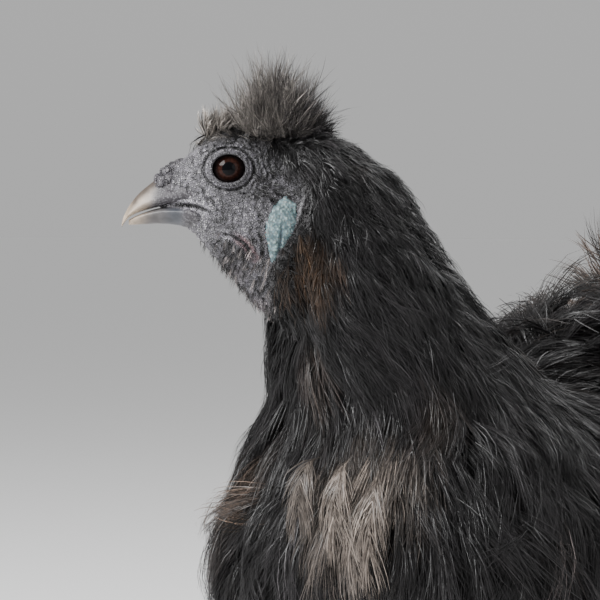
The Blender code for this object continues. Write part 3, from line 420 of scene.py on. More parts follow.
def from_line(points, line):
    """Distance in the side view from a line of (forward, height) places, and the place along it."""
    here = np.stack((-points[..., 1], points[..., 2]), -1)
    nearest = np.full(here.shape[:-1], 1e6)
    along = np.zeros(here.shape[:-1])
    for index, (start, end) in enumerate(zip(line, line[1:])):
        start, end = np.array(start), np.array(end)
        step = end - start
        share = np.clip(((here - start) @ step) / (step @ step), 0, 1)
        gap = np.linalg.norm(here - start - share[..., None] * step, axis=-1)
        along = np.where(gap < nearest, (index + share) / (len(line) - 1), along)
        nearest = np.minimum(nearest, gap)
    return nearest, along


def from_place(points, place):
    """Distance in the side view from a (forward, height) place."""
    return np.hypot(-points[..., 1] - place[0], points[..., 2] - place[1])


def face_depth(points):
    """How deep a place of the head's side lies inside the bare face's outline, less than 0 outside."""
    here = np.stack((-points[..., 1], points[..., 2]), -1)
    corners = np.array(FACE_OUTLINE)
    inside = np.zeros(here.shape[:-1], bool)
    for (x0, y0), (x1, y1) in zip(corners, np.roll(corners, -1, 0)):
        crossing = (here[..., 1] < y0) != (here[..., 1] < y1)
        inside ^= crossing & (here[..., 0] < (x1 - x0) * (here[..., 1] - y0) / (y1 - y0 + 1e-12) + x0)
    gap = from_line(points, [*FACE_OUTLINE, FACE_OUTLINE[0]])[0]
    return np.where(inside, gap, -gap)


def around_eye(points):
    """Distance from the eye's middle in the side view, stretched so that the lids' opening is a circle."""
    return np.hypot(points[..., 1] / LID_OPENING[0], points[..., 2] / LID_OPENING[1]) * LID_OPENING[0]


def face_relief(points):
    """How far lids, creases, folds and grains stand out from the face's left side, in the head's frame."""
    forward, height = -points[..., 1], points[..., 2]
    around = around_eye(points)
    # The rim of the lids stands up in a roll, with finer rolls outside it and a crease round them.
    lids = 0.62 * bump(around - LID_RIM, 0.6) + 0.3 * bump(around - 6.7, 0.3)
    lids = lids - 0.85 * bump(around - 7.5, 0.42)
    lids -= 0.3 * bump(around - 6.25, 0.2)
    angle = np.arctan2(height, forward)
    lids += 0.15 * np.sin(angle * 40) * bump(around - 5.9, 0.8)
    # Curved wrinkles behind the eye, and radial ones that run down from it over the cheek.
    behind = rise(-forward, 1.0, 5.0)
    wander = around + 0.6 * np.sin(angle * 9) * rise(around, 7.5, 9) + 0.35 * ripple(points, 5, 14)
    wrinkles = 0.5 * bump(wander - 9.4, 0.35) + 0.42 * bump(wander - 11, 0.35)
    lids -= behind * (wrinkles + 0.4 * bump(wander - 12.8, 0.4))
    lids -= (1 - behind) * 0.3 * bump(wander - 9.3, 0.35) * rise(height, -6, 3)
    cheek = rise(-height, 5, 8) * (1 - rise(-height, 17, 21))
    lids -= 0.3 * cheek * rise(np.sin((angle + 0.12 * ripple(points, 6, 15)) * 34), 0.35, 1.0) * behind
    gap, along = from_line(points, MOUTH_LINE)
    relief = lids - 1.1 * bump(gap, 0.42) * rise(1 - along, 0, 0.12) + 0.35 * bump(gap - 1.2, 0.6)
    # Three creases of the lore, one below another.
    for number in range(3):
        shifted = [(x + number * 1.3 - 0.4, y + number * 1.1) for x, y in LORE_CREASE]
        gap, along = from_line(points, shifted)
        fade = np.sin(along * math.pi) ** 0.5 * rise(along, 0.1, 0.9)
        relief += (0.2 * bump(gap - 0.9, 0.5) - 0.5 * bump(gap + 0.25 * ripple(points, 3, 18), 0.35)) * fade
    # The corner of the mouth: a small pad with two creases round it.
    gape = np.hypot(forward - 3.6, height + 14.2)
    relief += 0.7 * bump(np.hypot(forward - 5.6, height + 13.0), 1.5) - 0.5 * bump(gape - 1.9, 0.4)
    relief -= 0.35 * bump(gape - 3.1, 0.35) * rise(-forward, -4.5, -3)
    for line, tall, apart, wide, deep, narrow in FOLDS:
        gap, along = from_line(points, line)
        fold = tall * bump(gap - apart, wide) - deep * bump(gap, narrow)
        relief += fold * np.sin(along * math.pi) ** 0.5
    folds = np.abs(ripple(points * np.array((1, 1, 0.6)), 4.2, 16, 9))
    relief -= 0.3 * (1 - rise(folds, 0.0, 0.3)) * rise(around, 7.6, 9)
    grains = 0.12 * ripple(points, 2.0, 3, 9) + 0.12 * ripple(points, 1.2, 4, 12)
    grains = grains * rise(face_depth(points), -1.0, 1.5) * rise(around, 5, 6.5)
    return relief * rise(points[..., 0], 3, 6) + grains


def face_detail(points, field):
    """The head's field with eyeballs under lids, and with the relief of the face."""
    points = mirrored(points)
    ball = np.linalg.norm(points - np.array((EYE_SIDE, 0, 0)), axis=-1)
    field = smooth_union(field, ball - EYE_RADIUS - LID_THICK, 3.0) - face_relief(points)
    # The eye looks out of an opening in the lids.
    socket = ball - EYE_RADIUS - 0.06
    opening = np.maximum(around_eye(points) - LID_OPENING[0], EYE_SIDE - points[..., 0])
    return np.maximum(field, -np.minimum(socket, opening))


def lattice(low, high, voxel):
    axes = [np.arange(a, b + voxel, voxel) for a, b in zip(low, high)]
    return np.stack(np.meshgrid(*axes, indexing="ij"), -1)


def surface(field, low, voxel):
    """Points and outward quads of a field's zero surface."""
    grid = vdb.FloatGrid()
    grid.background = BAND * voxel
    grid.copyFromArray(np.clip(field, -BAND * voxel, BAND * voxel).astype(np.float32))
    points, _, quads = grid.convertToPolygons(isovalue=0, adaptivity=0)
    return points * voxel + np.array(low), quads[:, ::-1]


class Field:
    """True distances round a closed surface, read between the points of a lattice."""

    def __init__(self, points, quads, low, high, voxel):
        self.low, self.voxel = np.array(low, float), voxel
        local = ((points - self.low) / voxel).astype(np.float32)
        quads = quads.astype(np.uint32)
        grid = vdb.FloatGrid.createLevelSetFromPolygons(local, quads=quads, halfWidth=float(BAND))
        shape = [int((b - a) / voxel) + 2 for a, b in zip(low, high)]
        values = np.zeros(shape, np.float32)
        grid.copyToArray(values)
        self.values = values * voxel
        self.slopes = np.stack(np.gradient(self.values, voxel), -1)

    def _read(self, table, points):
        place = np.clip((points - self.low) / self.voxel, 0, np.array(self.values.shape) - 1.001)
        base = place.astype(int)
        share = place - base
        total = 0
        for corner in np.ndindex(2, 2, 2):
            weight = np.prod(np.where(corner, share, 1 - share), -1)
            at = base + np.array(corner)
            value = table[at[..., 0], at[..., 1], at[..., 2]]
            total = total + value * (weight[..., None] if value.ndim > weight.ndim else weight)
        return total

    def distance(self, points):
        return self._read(self.values, points)

    def normal(self, points):
        return unit(self._read(self.slopes, points))

    def follow(self, roots, flow, lengths, lifts):
        """Guide lines that run from roots along a flow, at the given heights over the surface."""
        place, made, normals = roots, [], []
        for step in range(lifts.shape[1]):
            if step:
                normal = self.normal(place)
                heading = flow(place)
                heading = unit(heading - normal * np.sum(heading * normal, -1, keepdims=True))
                place = place + heading * (lengths / (lifts.shape[1] - 1))[:, None]
            for _ in range(2):
                normal = self.normal(place)
                place = place + normal * (lifts[:, step] - self.distance(place))[:, None]
            made.append(place)
            normals.append(self.normal(place))
        return np.stack(made, 1), np.stack(normals, 1)


def tail_field(points, share):
    radius = np.linalg.norm((points - TAIL_MIDDLE) / (TAIL_CORE * share), axis=-1)
    return (radius - 1) * TAIL_CORE.min() * share


def body_field(points):
    """Skin of torso, neck, tail, thighs and head together, in the hen's frame."""
    neck = level_field(points, NECK_TABLE, NECK_SKIN)
    field = smooth_union(torso_field(points, TORSO_SKIN), neck, NECK_BLEND)
    field = smooth_union(field, tail_field(points, TAIL_SKIN), TAIL_BLEND)
    for side in (1, -1):
        field = smooth_union(field, level_field(points, limb(THIGH_ROWS, side), THIGH_SKIN), THIGH_BLEND)
    return smooth_union(field, head_field(to_head(points)), HEAD_BLEND)


def head_detail_field(points):
    """The same skin near the head, in the head's frame, with the face's detail."""
    here = from_head(points)
    neck = level_field(here, NECK_TABLE, NECK_SKIN)
    return face_detail(points, smooth_union(head_field(points), neck, HEAD_BLEND))


def into_scene(name, data):
    made = bpy.data.objects.new(name, data)
    bpy.context.scene.collection.objects.link(made)
    return made


def new_object(name, points, faces, material, slot, **stored):
    """A smooth mesh piece from points in the hen's frame, with the tints and numbers that they store."""
    mesh = bpy.data.meshes.new(name)
    count, corners = faces.shape
    mesh.vertices.add(len(points))
    mesh.vertices.foreach_set("co", in_metres(points).astype(np.float32).ravel())
    mesh.loops.add(faces.size)
    mesh.loops.foreach_set("vertex_index", faces.astype(np.int32).ravel())
    mesh.polygons.add(count)
    mesh.polygons.foreach_set("loop_start", np.arange(count, dtype=np.int32) * corners)
    mesh.polygons.foreach_set("use_smooth", np.ones(count, bool))
    mesh.update(calc_edges=True)
    mesh.validate()
    mesh.materials.append(material)
    made = into_scene(name, mesh)
    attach(made, "root")
    for key, values in stored.items():
        if values.ndim == 1:
            layer = mesh.attributes.new(key, "FLOAT", "POINT")
            layer.data.foreach_set("value", values.astype(np.float32))
        else:
            layer = mesh.attributes.new(key, "FLOAT_COLOR", "POINT")
            colours = np.concatenate((values, np.ones((len(values), 1))), 1)
            layer.data.foreach_set("color", colours.astype(np.float32).ravel())
    return made


def node(tree, kind, **settings):
    made = tree.nodes.new(kind)
    for key, value in settings.items():
        if key in made.inputs:
            made.inputs[key].default_value = value
        else:
            setattr(made, key, value)
    return made


class Paint:
    """A material and the nodes that feed its shader."""

    def __init__(self, name, roughness, specular, **uniform):
        self.material = bpy.data.materials.new(name)
        self.material.use_nodes = True
        self.tree = self.material.node_tree
        self.shader = self.tree.nodes["Principled BSDF"]
        self.normal = None
        self.shader.inputs["Roughness"].default_value = roughness
        self.shader.inputs["Specular IOR Level"].default_value = specular
        for key, value in uniform.items():
            self.shader.inputs[key.replace("_", " ").title()].default_value = value

    def feed(self, socket, value):
        """Gives an input a link from a socket, or a number or colour of its own."""
        if isinstance(value, bpy.types.NodeSocket):
            self.tree.links.new(value, socket)
        else:
            socket.default_value = (*value, 1) if isinstance(value, tuple) else value

    def put(self, key, source):
        self.feed(self.shader.inputs[key], source)

    def stored(self, name, output="Color"):
        """What a piece stores at each point."""
        return node(self.tree, "ShaderNodeAttribute", attribute_name=name).outputs[output]

    def texture(self, kind, output, **settings):
        """A texture in the object's own space."""
        made = node(self.tree, kind, **settings)
        self.feed(made.inputs["Vector"], node(self.tree, "ShaderNodeTexCoord").outputs["Object"])
        return made.outputs[output]

    def noise(self, scale, detail):
        return self.texture("ShaderNodeTexNoise", "Fac", Scale=scale, Detail=detail)

    def grains(self, scale, low, high, randomness=1.0):
        """Round grains: 1 at their tops, 0 in the cracks between them."""
        distance = self.texture("ShaderNodeTexVoronoi", "Distance", Scale=scale, Randomness=randomness)
        return self.spread(distance, low, high, 1.0, 0.0)

    def spread(self, source, low, high, dark=0.0, light=1.0):
        """Spreads a range of a value over another one."""
        made = node(self.tree, "ShaderNodeMapRange", interpolation_type="SMOOTHSTEP")
        self.feed(made.inputs["Value"], source)
        for key, value in (("From Min", low), ("From Max", high), ("To Min", dark), ("To Max", light)):
            made.inputs[key].default_value = value
        return made.outputs[0]

    def mixed(self, kind, factor, one, other):
        mixer = node(self.tree, "ShaderNodeMix", data_type="RGBA", blend_type=kind)
        for place, value in ((0, factor), (6, one), (7, other)):
            self.feed(mixer.inputs[place], value)
        return mixer.outputs[2]

    def times(self, one, other):
        return self.mixed("MULTIPLY", 1.0, one, other)

    def product(self, one, other, more=0.0):
        """One number times another, plus a third."""
        made = node(self.tree, "ShaderNodeMath", operation="MULTIPLY_ADD")
        for socket, value in zip(made.inputs, (one, other, more)):
            self.feed(socket, value)
        return made.outputs[0]

    def bump(self, height, strength, distance):
        """Raises the surface, on top of what raised it before."""
        made = node(self.tree, "ShaderNodeBump", Strength=strength, Distance=distance)
        self.feed(made.inputs["Height"], height)
        if self.normal is not None:
            self.feed(made.inputs["Normal"], self.normal)
        self.normal = made.outputs[0]
        self.put("Normal", self.normal)


def plumage_material():
    """Silky barbs: each has its own stored tint, with a soft gloss."""
    paint = Paint("plumage_silk", 0.34, 0.25)
    noise = paint.noise(420, 2)
    paint.put("Base Color", paint.times(paint.stored("tint"), paint.spread(noise, 0.3, 0.7, 0.72, 1.25)))
    paint.put("Roughness", paint.spread(noise, 0.35, 0.65, 0.32, 0.46))
    return paint.material


def skin_material():
    """Pebbled bare skin of the face: pale grains over cracks darkened with painted shade, with the stored
    tint.
    """
    paint = Paint("bare_skin", 0.5, 0.6)
    tints, fine = paint.stored("tint"), paint.noise(2300, 3)
    crown = paint.grains(1450, 0.2, 0.62)
    pebbled = paint.mixed("MIX", crown, paint.times(tints, (0.26, 0.25, 0.28)), tints)
    pebbled = paint.times(pebbled, paint.spread(fine, 0.3, 0.7, 0.72, 1.5))
    pebbled = paint.times(pebbled, paint.spread(paint.noise(420, 5), 0.3, 0.7, 0.62, 1.35))
    paint.put("Base Color", paint.mixed("MIX", paint.stored("bare", "Fac"), tints, pebbled))
    paint.bump(crown, 1.0, 0.001)
    paint.bump(fine, 0.6, 0.0002)
    paint.put("Roughness", paint.spread(crown, 0, 1, 0.6, 0.33))
    return paint.material


def horn_material():
    """Bill and claws: the stored tint under soft clouds, and grains where the horn is still skin, with
    painted shade in the cracks between them.
    """
    paint = Paint("horn", 0.4, 0.3, coat_weight=0.05, coat_roughness=0.3)
    rough = paint.stored("bare", "Fac")
    crown = paint.grains(1300, 0.15, 0.62)
    horn = paint.times(paint.stored("tint"), paint.spread(paint.noise(350, 2), 0.3, 0.7, 0.8, 1.18))
    skin = paint.mixed("MIX", crown, paint.times(horn, (0.32, 0.3, 0.32)), horn)
    paint.put("Base Color", paint.mixed("MIX", rough, horn, skin))
    paint.bump(paint.product(crown, rough), 0.7, 0.0003)
    paint.bump(paint.noise(900, 4), 0.2, 0.0001)
    paint.put("Roughness", paint.spread(rough, 0, 1, 0.4, 0.55))
    return paint.material


def lobe_material():
    """Thin wrinkled skin with powdery pale grains and painted shade in the cracks between them."""
    paint = Paint("lobe_skin", 0.6, 0.35, subsurface_weight=0.15, subsurface_scale=0.002)
    tints, fine = paint.stored("tint"), paint.noise(1500, 4)
    crown = paint.grains(1100, 0.1, 0.7)
    pebbled = paint.mixed("MIX", crown, paint.times(tints, (0.4, 0.46, 0.5)), tints)
    paint.put("Base Color", paint.times(pebbled, paint.spread(fine, 0.3, 0.7, 0.7, 1.3)))
    paint.bump(crown, 0.6, 0.0003)
    paint.bump(fine, 0.4, 0.0002)
    return paint.material


def eye_material():
    """A wet eye with the stored tint of iris and pupil."""
    paint = Paint("eye_wet", 0.03, 0.08)
    streaks = paint.spread(paint.noise(1500, 3), 0.3, 0.7, 0.6, 1.3)
    paint.put("Base Color", paint.times(paint.stored("tint"), streaks))
    return paint.material


def scale_material():
    """Scaly skin of the legs: the stored plates with grains on them, darker between them."""
    paint = Paint("leg_scales", 0.5, 0.5)
    height = paint.product(paint.grains(620, 0.2, 0.75, 0.9), 0.35, paint.stored("plates", "Fac"))
    plates = paint.mixed("MIX", paint.spread(height, 0.1, 0.9), (0.012, 0.012, 0.014), (0.05, 0.05, 0.06))
    paint.put("Base Color", paint.times(plates, paint.spread(paint.noise(500, 3), 0.3, 0.7, 0.7, 1.3)))
    paint.bump(height, 0.8, 0.0005)
    return paint.material


FACE_GREY = np.array((0.158, 0.154, 0.164))
FACE_PALE = np.array((0.3, 0.295, 0.305))
FACE_DARK = np.array((0.05, 0.045, 0.055))
FACE_RED = np.array((0.13, 0.045, 0.045))
UNDER_SKIN = np.array((0.012, 0.011, 0.012))
THROAT_TINT, THROAT_SPOT = (0.1, 0.078, 0.08), (0.32, 0.27, 0.27)
COMB_TOP_HIGHLIGHT, PIT_SHADE = (0.24, 0.232, 0.238), (0.012, 0.011, 0.013)
LOBE_BLUE, LOBE_TOP, LOBE_CREASE_SHADE = (0.12, 0.17, 0.172), (0.235, 0.3, 0.3), (0.05, 0.08, 0.1)
EYEBALL, IRIS, PUPIL = (0.012, 0.008, 0.008), (0.019, 0.0074, 0.0053), (0.0015, 0.0015, 0.002)
IRIS_RIM, IRIS_RING = (0.012, 0.005, 0.004), (0.02, 0.007, 0.005)
NOSTRIL_SHADE, NOSTRIL_RIM_HIGHLIGHT = (0.01, 0.01, 0.012), (0.2, 0.19, 0.2)
CLAW_ROOT, CLAW_TIP = (0.05, 0.048, 0.05), (0.2, 0.18, 0.16)
BILL_CREAM = np.array((0.33, 0.265, 0.2))
BILL_GREY = np.array((0.05, 0.054, 0.064))
BILL_RIDGE = np.array((0.04, 0.031, 0.026))


def blended(one, other, share):
    return one + (np.asarray(other) - one) * np.asarray(share)[..., None]


def face_colours(points):
    """Tints of the face in the head's frame, and how bare each point is."""
    forward, height = -points[..., 1], points[..., 2]
    around = around_eye(points)
    colours = FACE_GREY * np.exp(0.2 * ripple(points, 9, 17))[..., None]
    # Painted shade in the crease round the lids.
    colours = blended(colours, FACE_DARK, 0.9 * bump(around - 7.3, 0.35))
    colours = blended(colours, FACE_DARK * 0.4, rise(-around, -5.5, -5.1))
    # Painted light makes the face paler at the front beside the bill, and painted shade darkens it towards
    # the back.
    lit_beside_bill = rise(forward, 1, 11)
    colours = blended(colours, FACE_PALE, 0.85 * lit_beside_bill)
    colours = colours * (1 - 0.35 * rise(-forward, 4, 18))[..., None]
    # Painted shade along the mouth line and in the creases of the jaw and cheek folds.
    for line, width in ((MOUTH_LINE, 0.45), (JAW_FOLD, 0.5), (CHEEK_FOLD, 0.5)):
        colours = blended(colours, FACE_DARK * 0.6, 0.6 * bump(from_line(points, line)[0], width))
    gap, along = from_line(points, JAW_FOLD)
    colours = blended(colours, FACE_RED, 0.7 * bump(gap - 0.9, 0.7) * rise(along, 0.2, 0.6))
    # Painted highlight along the ridge of the fold by the lobe.
    colours = blended(colours, FACE_PALE, 0.6 * bump(from_line(points, LOBE_FOLD)[0], 0.6))
    chin = rise(-height, 21, 27) * rise(forward, -12, -4)
    colours = blended(colours, FACE_DARK, 0.6 * chin)
    coverts = bump(from_place(points, EAR_PLACE), 5.5)
    colours = blended(colours, FACE_DARK, 0.75 * coverts)
    throat = rise(-height, 26, 34) * rise(forward + 0.9 * (height + 30), -10, -2)
    colours = blended(colours, THROAT_TINT, 0.75 * throat)
    colours = blended(colours, THROAT_SPOT, 0.8 * bump(from_place(points, THROAT_PALE), 3.0))
    # Painted shade darkens the creases, and painted highlights lighten the tops of the folds and grains.
    colours = colours * np.clip(1.05 + 2.2 * face_relief(points), 0.22, 1.7)[..., None]
    colours = blended(colours, FACE_GREY * 0.5, 0.7 * bump(around - 5.7, 0.8))
    bare = rise(face_depth(points), -0.6, 1.6)
    return blended(UNDER_SKIN, colours, bare), bare


def build_skin():
    """The whole skin in one piece: fine over the head, coarser over the feathered body."""
    values = body_field(lattice(BODY_LOW, BODY_HIGH, BODY_VOXEL))
    points, quads = surface(values, BODY_LOW, BODY_VOXEL)
    body = Field(points, quads, BODY_LOW, BODY_HIGH, BODY_VOXEL)
    values = head_detail_field(lattice(HEAD_LOW, HEAD_HIGH, HEAD_VOXEL))
    fine_points, fine_quads = surface(values, HEAD_LOW, HEAD_VOXEL)
    head = Field(fine_points, fine_quads, HEAD_LOW, HEAD_HIGH, 1.0)
    # The two surfaces lie in one another where they meet, deep under the hackle.
    low, high = np.array(HEAD_LOW) + 1, np.array(HEAD_HIGH) - 1
    keep = np.all((fine_points > low) & (fine_points < high), axis=1)
    shown = fine_quads[keep[fine_quads].all(1)]
    local = to_head(points)
    within = np.all((local > low + 3) & (local < high - 3), axis=1)
    covered = quads[~within[quads].all(1)]
    colours, bare = face_colours(mirrored(fine_points))
    everything = np.concatenate((points, from_head(fine_points)))
    faces = np.concatenate((covered, shown + len(points)))
    colours = np.concatenate((np.broadcast_to(UNDER_SKIN, points.shape), colours))
    bare = np.concatenate((np.zeros(len(points)), bare))
    skin = new_object("skin", everything, faces, SKIN, "face_skin", tint=colours, bare=bare)
    flesh = ["torso", "neck", "head", "thigh_left", "thigh_right", "wattle_left", "wattle_right"]
    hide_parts(*flesh)
    return body, (points, quads), head, (fine_points, fine_quads)


def mirrored(points):
    """Points of the right side taken to the left."""
    return np.stack((np.abs(points[..., 0]), points[..., 1], points[..., 2]), -1)


def side_of(head, forward, height):
    """How far out the head's side lies at a place of the side view."""
    places = np.array([head_place(forward, height, side) for side in np.arange(0, 21.5, 0.25)])
    distances = head.distance(places)
    return places[np.argmax(distances > 0)][0]


def lofted(rings):
    """Points and triangles of a tube through equal rings, closed at both ends."""
    rings = np.asarray(rings)
    count, sides = rings.shape[:2]
    index = np.arange(count * sides).reshape(count, sides)
    beside = np.roll(index, -1, 1)
    a, b, c, d = index[:-1], beside[:-1], beside[1:], index[1:]
    first, last = np.full(sides, count * sides), np.full(sides, count * sides + 1)
    triples = ((a, b, c), (a, c, d), (beside[0], index[0], first), (index[-1], beside[-1], last))
    faces = np.concatenate([np.stack(corners, -1).reshape(-1, 3) for corners in triples])
    return np.concatenate((rings.reshape(-1, 3), rings[[0, -1]].mean(1))), faces


def bill_ring(row, sides, upper):
    """One ring of the bill, narrower at the culmen or at the keel, facing forward."""
    forward, top, under, wide = row
    angle = np.linspace(0, math.tau, sides, endpoint=False)
    across, up = np.cos(angle), np.sin(angle)
    middle = under + (top - under) * (0.26 if upper else 0.7)
    height = np.where(up > 0, middle + (top - middle) * up, middle + (middle - under) * up)
    narrow = np.clip(up if upper else -up, 0, 1)
    side = wide * across * (1 - 0.38 * narrow)
    return np.stack((side, np.full(sides, -forward), height), -1)


def build_bill():
    """Both parts of the bill, grown out of bare skin at the root, and the nostrils of the upper one."""
    for name, table, upper, skin_ends in BILL_PARTS:
        points, faces = lofted([bill_ring(row, 56, upper) for row in finer(table, 10)])
        forward, height = -points[:, 1], points[:, 2]
        bare = 1 - rise(forward + 0.3 * (height + 8) * upper, *skin_ends)
        tip = rise(forward + 0.25 * (height + 12), 22.0, 29.0)
        colours = blended(BILL_GREY, BILL_CREAM, 0.13 * rise(forward, 16, 22))
        if upper:
            top = np.interp(forward, *np.array(table)[:, :2].T)
            culmen = rise(height - top, -3.4, -0.9) * (1 - rise(forward, 28, 32.3))
            colours = blended(colours, BILL_CREAM, tip)
            colours = blended(colours, BILL_RIDGE, 0.9 * culmen)
            # The nostril: painted shade in its pit, and a painted highlight on the lip above it.
            gap = np.hypot((forward - NOSTRIL[0]) / 2.1, (height - NOSTRIL[1]) / 0.75)
            colours = blended(colours, NOSTRIL_SHADE, bump(gap, 0.8))
            over = np.hypot((forward - NOSTRIL[0]) / 2.6, (height - NOSTRIL[1] - 1.5) / 0.9)
            colours = blended(colours, NOSTRIL_RIM_HIGHLIGHT, 0.8 * bump(over, 0.9))
            relief = 0.45 * bump(over, 0.9) - 0.9 * bump(gap, 0.8)
            points[:, 0] += np.sign(points[:, 0]) * relief * rise(np.abs(points[:, 0]), 0.5, 2)
        else:
            colours = blended(colours, BILL_CREAM, 0.9 * tip)
        colours = blended(colours, FACE_GREY * 0.8, bare)
        points = points + 0.16 * ripple(points, 1.8, 5)[:, None] * bare[:, None]
        bill = new_object("shown_" + name, from_head(points), faces, HORN, "bill", tint=colours, bare=bare)
        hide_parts(name)


def build_comb():
    """A low lump of small warts, with painted shade in the hollows between them and painted highlights on
    their tops.
    """
    low, high = (-7.5, -9, -8), (7.5, 9, 8)
    places = lattice(low, high, FINE_VOXEL)
    source = np.random.default_rng(21)
    size = np.array(COMB_SIZE)
    field = (np.linalg.norm(places / (size * COMB_CORE), axis=-1) - 1) * 3.0
    for _ in range(COMB_WARTS):
        heading = unit(source.normal(size=3))
        heading[2] = abs(heading[2])
        seat = heading * size * COMB_CORE
        wart = np.linalg.norm(places - seat, axis=-1) - source.uniform(0.55, 1.05)
        field = smooth_union(field, wart, 0.25)
    points, quads = surface(field, low, FINE_VOXEL)
    depth = (np.linalg.norm(points / (size * COMB_CORE), axis=-1) - 1) * 3.0
    c, s = math.cos(COMB_SLOPE), math.sin(COMB_SLOPE)
    x, y, z = points.T
    placed = np.stack((x, y * c - z * s, y * s + z * c), -1) + head_place(*COMB_PLACE)
    # The nostril lies in a pit with a lip round it.
    ring = np.hypot((-placed[:, 1] - NOSTRIL[0]) / 1.5, placed[:, 2] - NOSTRIL[1])
    pit, lip = bump(ring, 0.9), bump(ring - 2.0, 0.6)
    placed[:, 0] += np.sign(placed[:, 0]) * (0.5 * lip - 1.0 * pit) * rise(np.abs(placed[:, 0]), 1, 3)
    # Painted shade low between the warts and in the nostril's pit, painted highlight on the warts' tops.
    colours = blended(FACE_DARK, COMB_TOP_HIGHLIGHT, rise(depth, -0.1, 0.7))
    colours = blended(colours, PIT_SHADE, pit)
    bare = np.ones(len(points))
    comb = new_object("shown_comb", from_head(placed), quads, SKIN, "face_skin", tint=colours, bare=bare)
    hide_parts("comb")


def build_lobes(head):
    """Pointed ear lobes with a crease."""
    forward, height = LOBE_PLACE
    thick, long, tall = LOBE_SIZE
    side = side_of(head, forward, height) + 0.4

    def in_lobe(points):
        local = points - head_place(forward, height, side)
        local[..., 1] -= LOBE_TILT * local[..., 2]
        return local

    low = (side - 5, -forward - 9, height - 13)
    high = (side + 5, -forward + 10, height + 13)
    places = lattice(low, high, FINE_VOXEL)
    local = in_lobe(places)
    down = -local[..., 2] / tall
    width = long * np.clip(1.02 - 0.62 * rise(down, -0.3, 1.0), 0.2, 1)
    field = np.sqrt((local[..., 0] / thick) ** 2 + (local[..., 1] / width) ** 2 + down**2)
    field = (field - 1) * thick
    crease = np.abs(local[..., 1] - 0.6 + 0.12 * local[..., 2])
    field += 0.7 * bump(crease, 0.5) * rise(-local[..., 2], -3, 2) * rise(local[..., 0], -1, 0.5)
    field -= 0.06 * ripple(places, 2.6, 9) + 0.05 * ripple(places, 1.2, 10)
    points, quads = surface(field, low, FINE_VOXEL)
    local = in_lobe(points)
    colours = blended(LOBE_BLUE, LOBE_TOP, rise(ripple(points, 2.2, 12), -0.4, 1))
    # Painted shade in the crease.
    crease = bump(local[:, 1] - 0.6 + 0.12 * local[:, 2], 0.45) * rise(-local[:, 2], -3, 2)
    colours = blended(colours, LOBE_CREASE_SHADE, 0.8 * crease)
    for name, sign in SIDES:
        placed = points * np.array((sign, 1, 1))
        faces = quads[:, ::sign]
        lobe = new_object("shown_earlobe_" + name, from_head(placed), faces, LOBE, "ear_lobe", tint=colours)
        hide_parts("earlobe_" + name)


def build_eyes():
    """Eyeballs with a bulging cornea, a dark iris and a round pupil."""
    angle = np.linspace(0, math.pi, 97)[:, None]
    turn = np.linspace(0, math.tau, 96, endpoint=False)[None]
    bulge = 1 + 0.035 * bump(angle, 0.42)
    ring = (np.cos(angle) + 0 * turn, np.sin(angle) * np.cos(turn), np.sin(angle) * np.sin(turn))
    points = (np.stack(ring, -1) * bulge[..., None] * EYE_RADIUS)[1:-1]
    # How far each point lies from the eye's axis, and far off on the back of the ball.
    across = np.arcsin(np.clip(np.sin(angle[1:-1]), 0, 1)) * EYE_RADIUS + 0 * turn
    across = np.where(angle[1:-1] > math.pi / 2, 99, across).reshape(-1)
    across = np.append(across, (0, 99))
    colours = blended(EYEBALL, IRIS, 1 - rise(across, 3.35, 3.75))
    colours = blended(colours, IRIS_RIM, 0.7 * bump(across - 3.5, 0.35))
    colours = blended(colours, IRIS_RING, bump(across - 2.3, 0.4) * 0.6)
    colours = blended(colours, PUPIL, 1 - rise(across, 1.9, 2.15))
    placed, faces = lofted(points)
    for side_name, sign in SIDES:
        name = "eye_" + side_name
        local = placed * np.array((sign, 1, 1)) + np.array((sign * EYE_SIDE, 0, 0))
        eye = new_object("shown_" + name, from_head(local), faces[:, ::-sign], EYE, "eye", tint=colours)
        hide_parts(name)


def leg_place(side, height, behind):
    """A place by its height and its distance behind the middle of the foot."""
    return np.array((side * LEG_SIDE, FOOT_BACK + behind, height), float)


def toe_frame(side, number):
    """The way a toe points, and the way to its left."""
    angle = side * (FOOT_TURN + math.radians(TOES[number][0]))
    return turned(np.array((0.0, -1.0, 0.0)), angle), turned(np.array((1.0, 0.0, 0.0)), angle)


def toe_line(side, number, forward, share, half):
    """The middle of a toe some way forward along it."""
    ahead, _ = toe_frame(side, number)
    height = RAISED_ROOT + RAISED_RISE * share * share if number == RAISED_TOE else half * SOLE_SINK
    return leg_place(side, height, 0) + ahead * forward


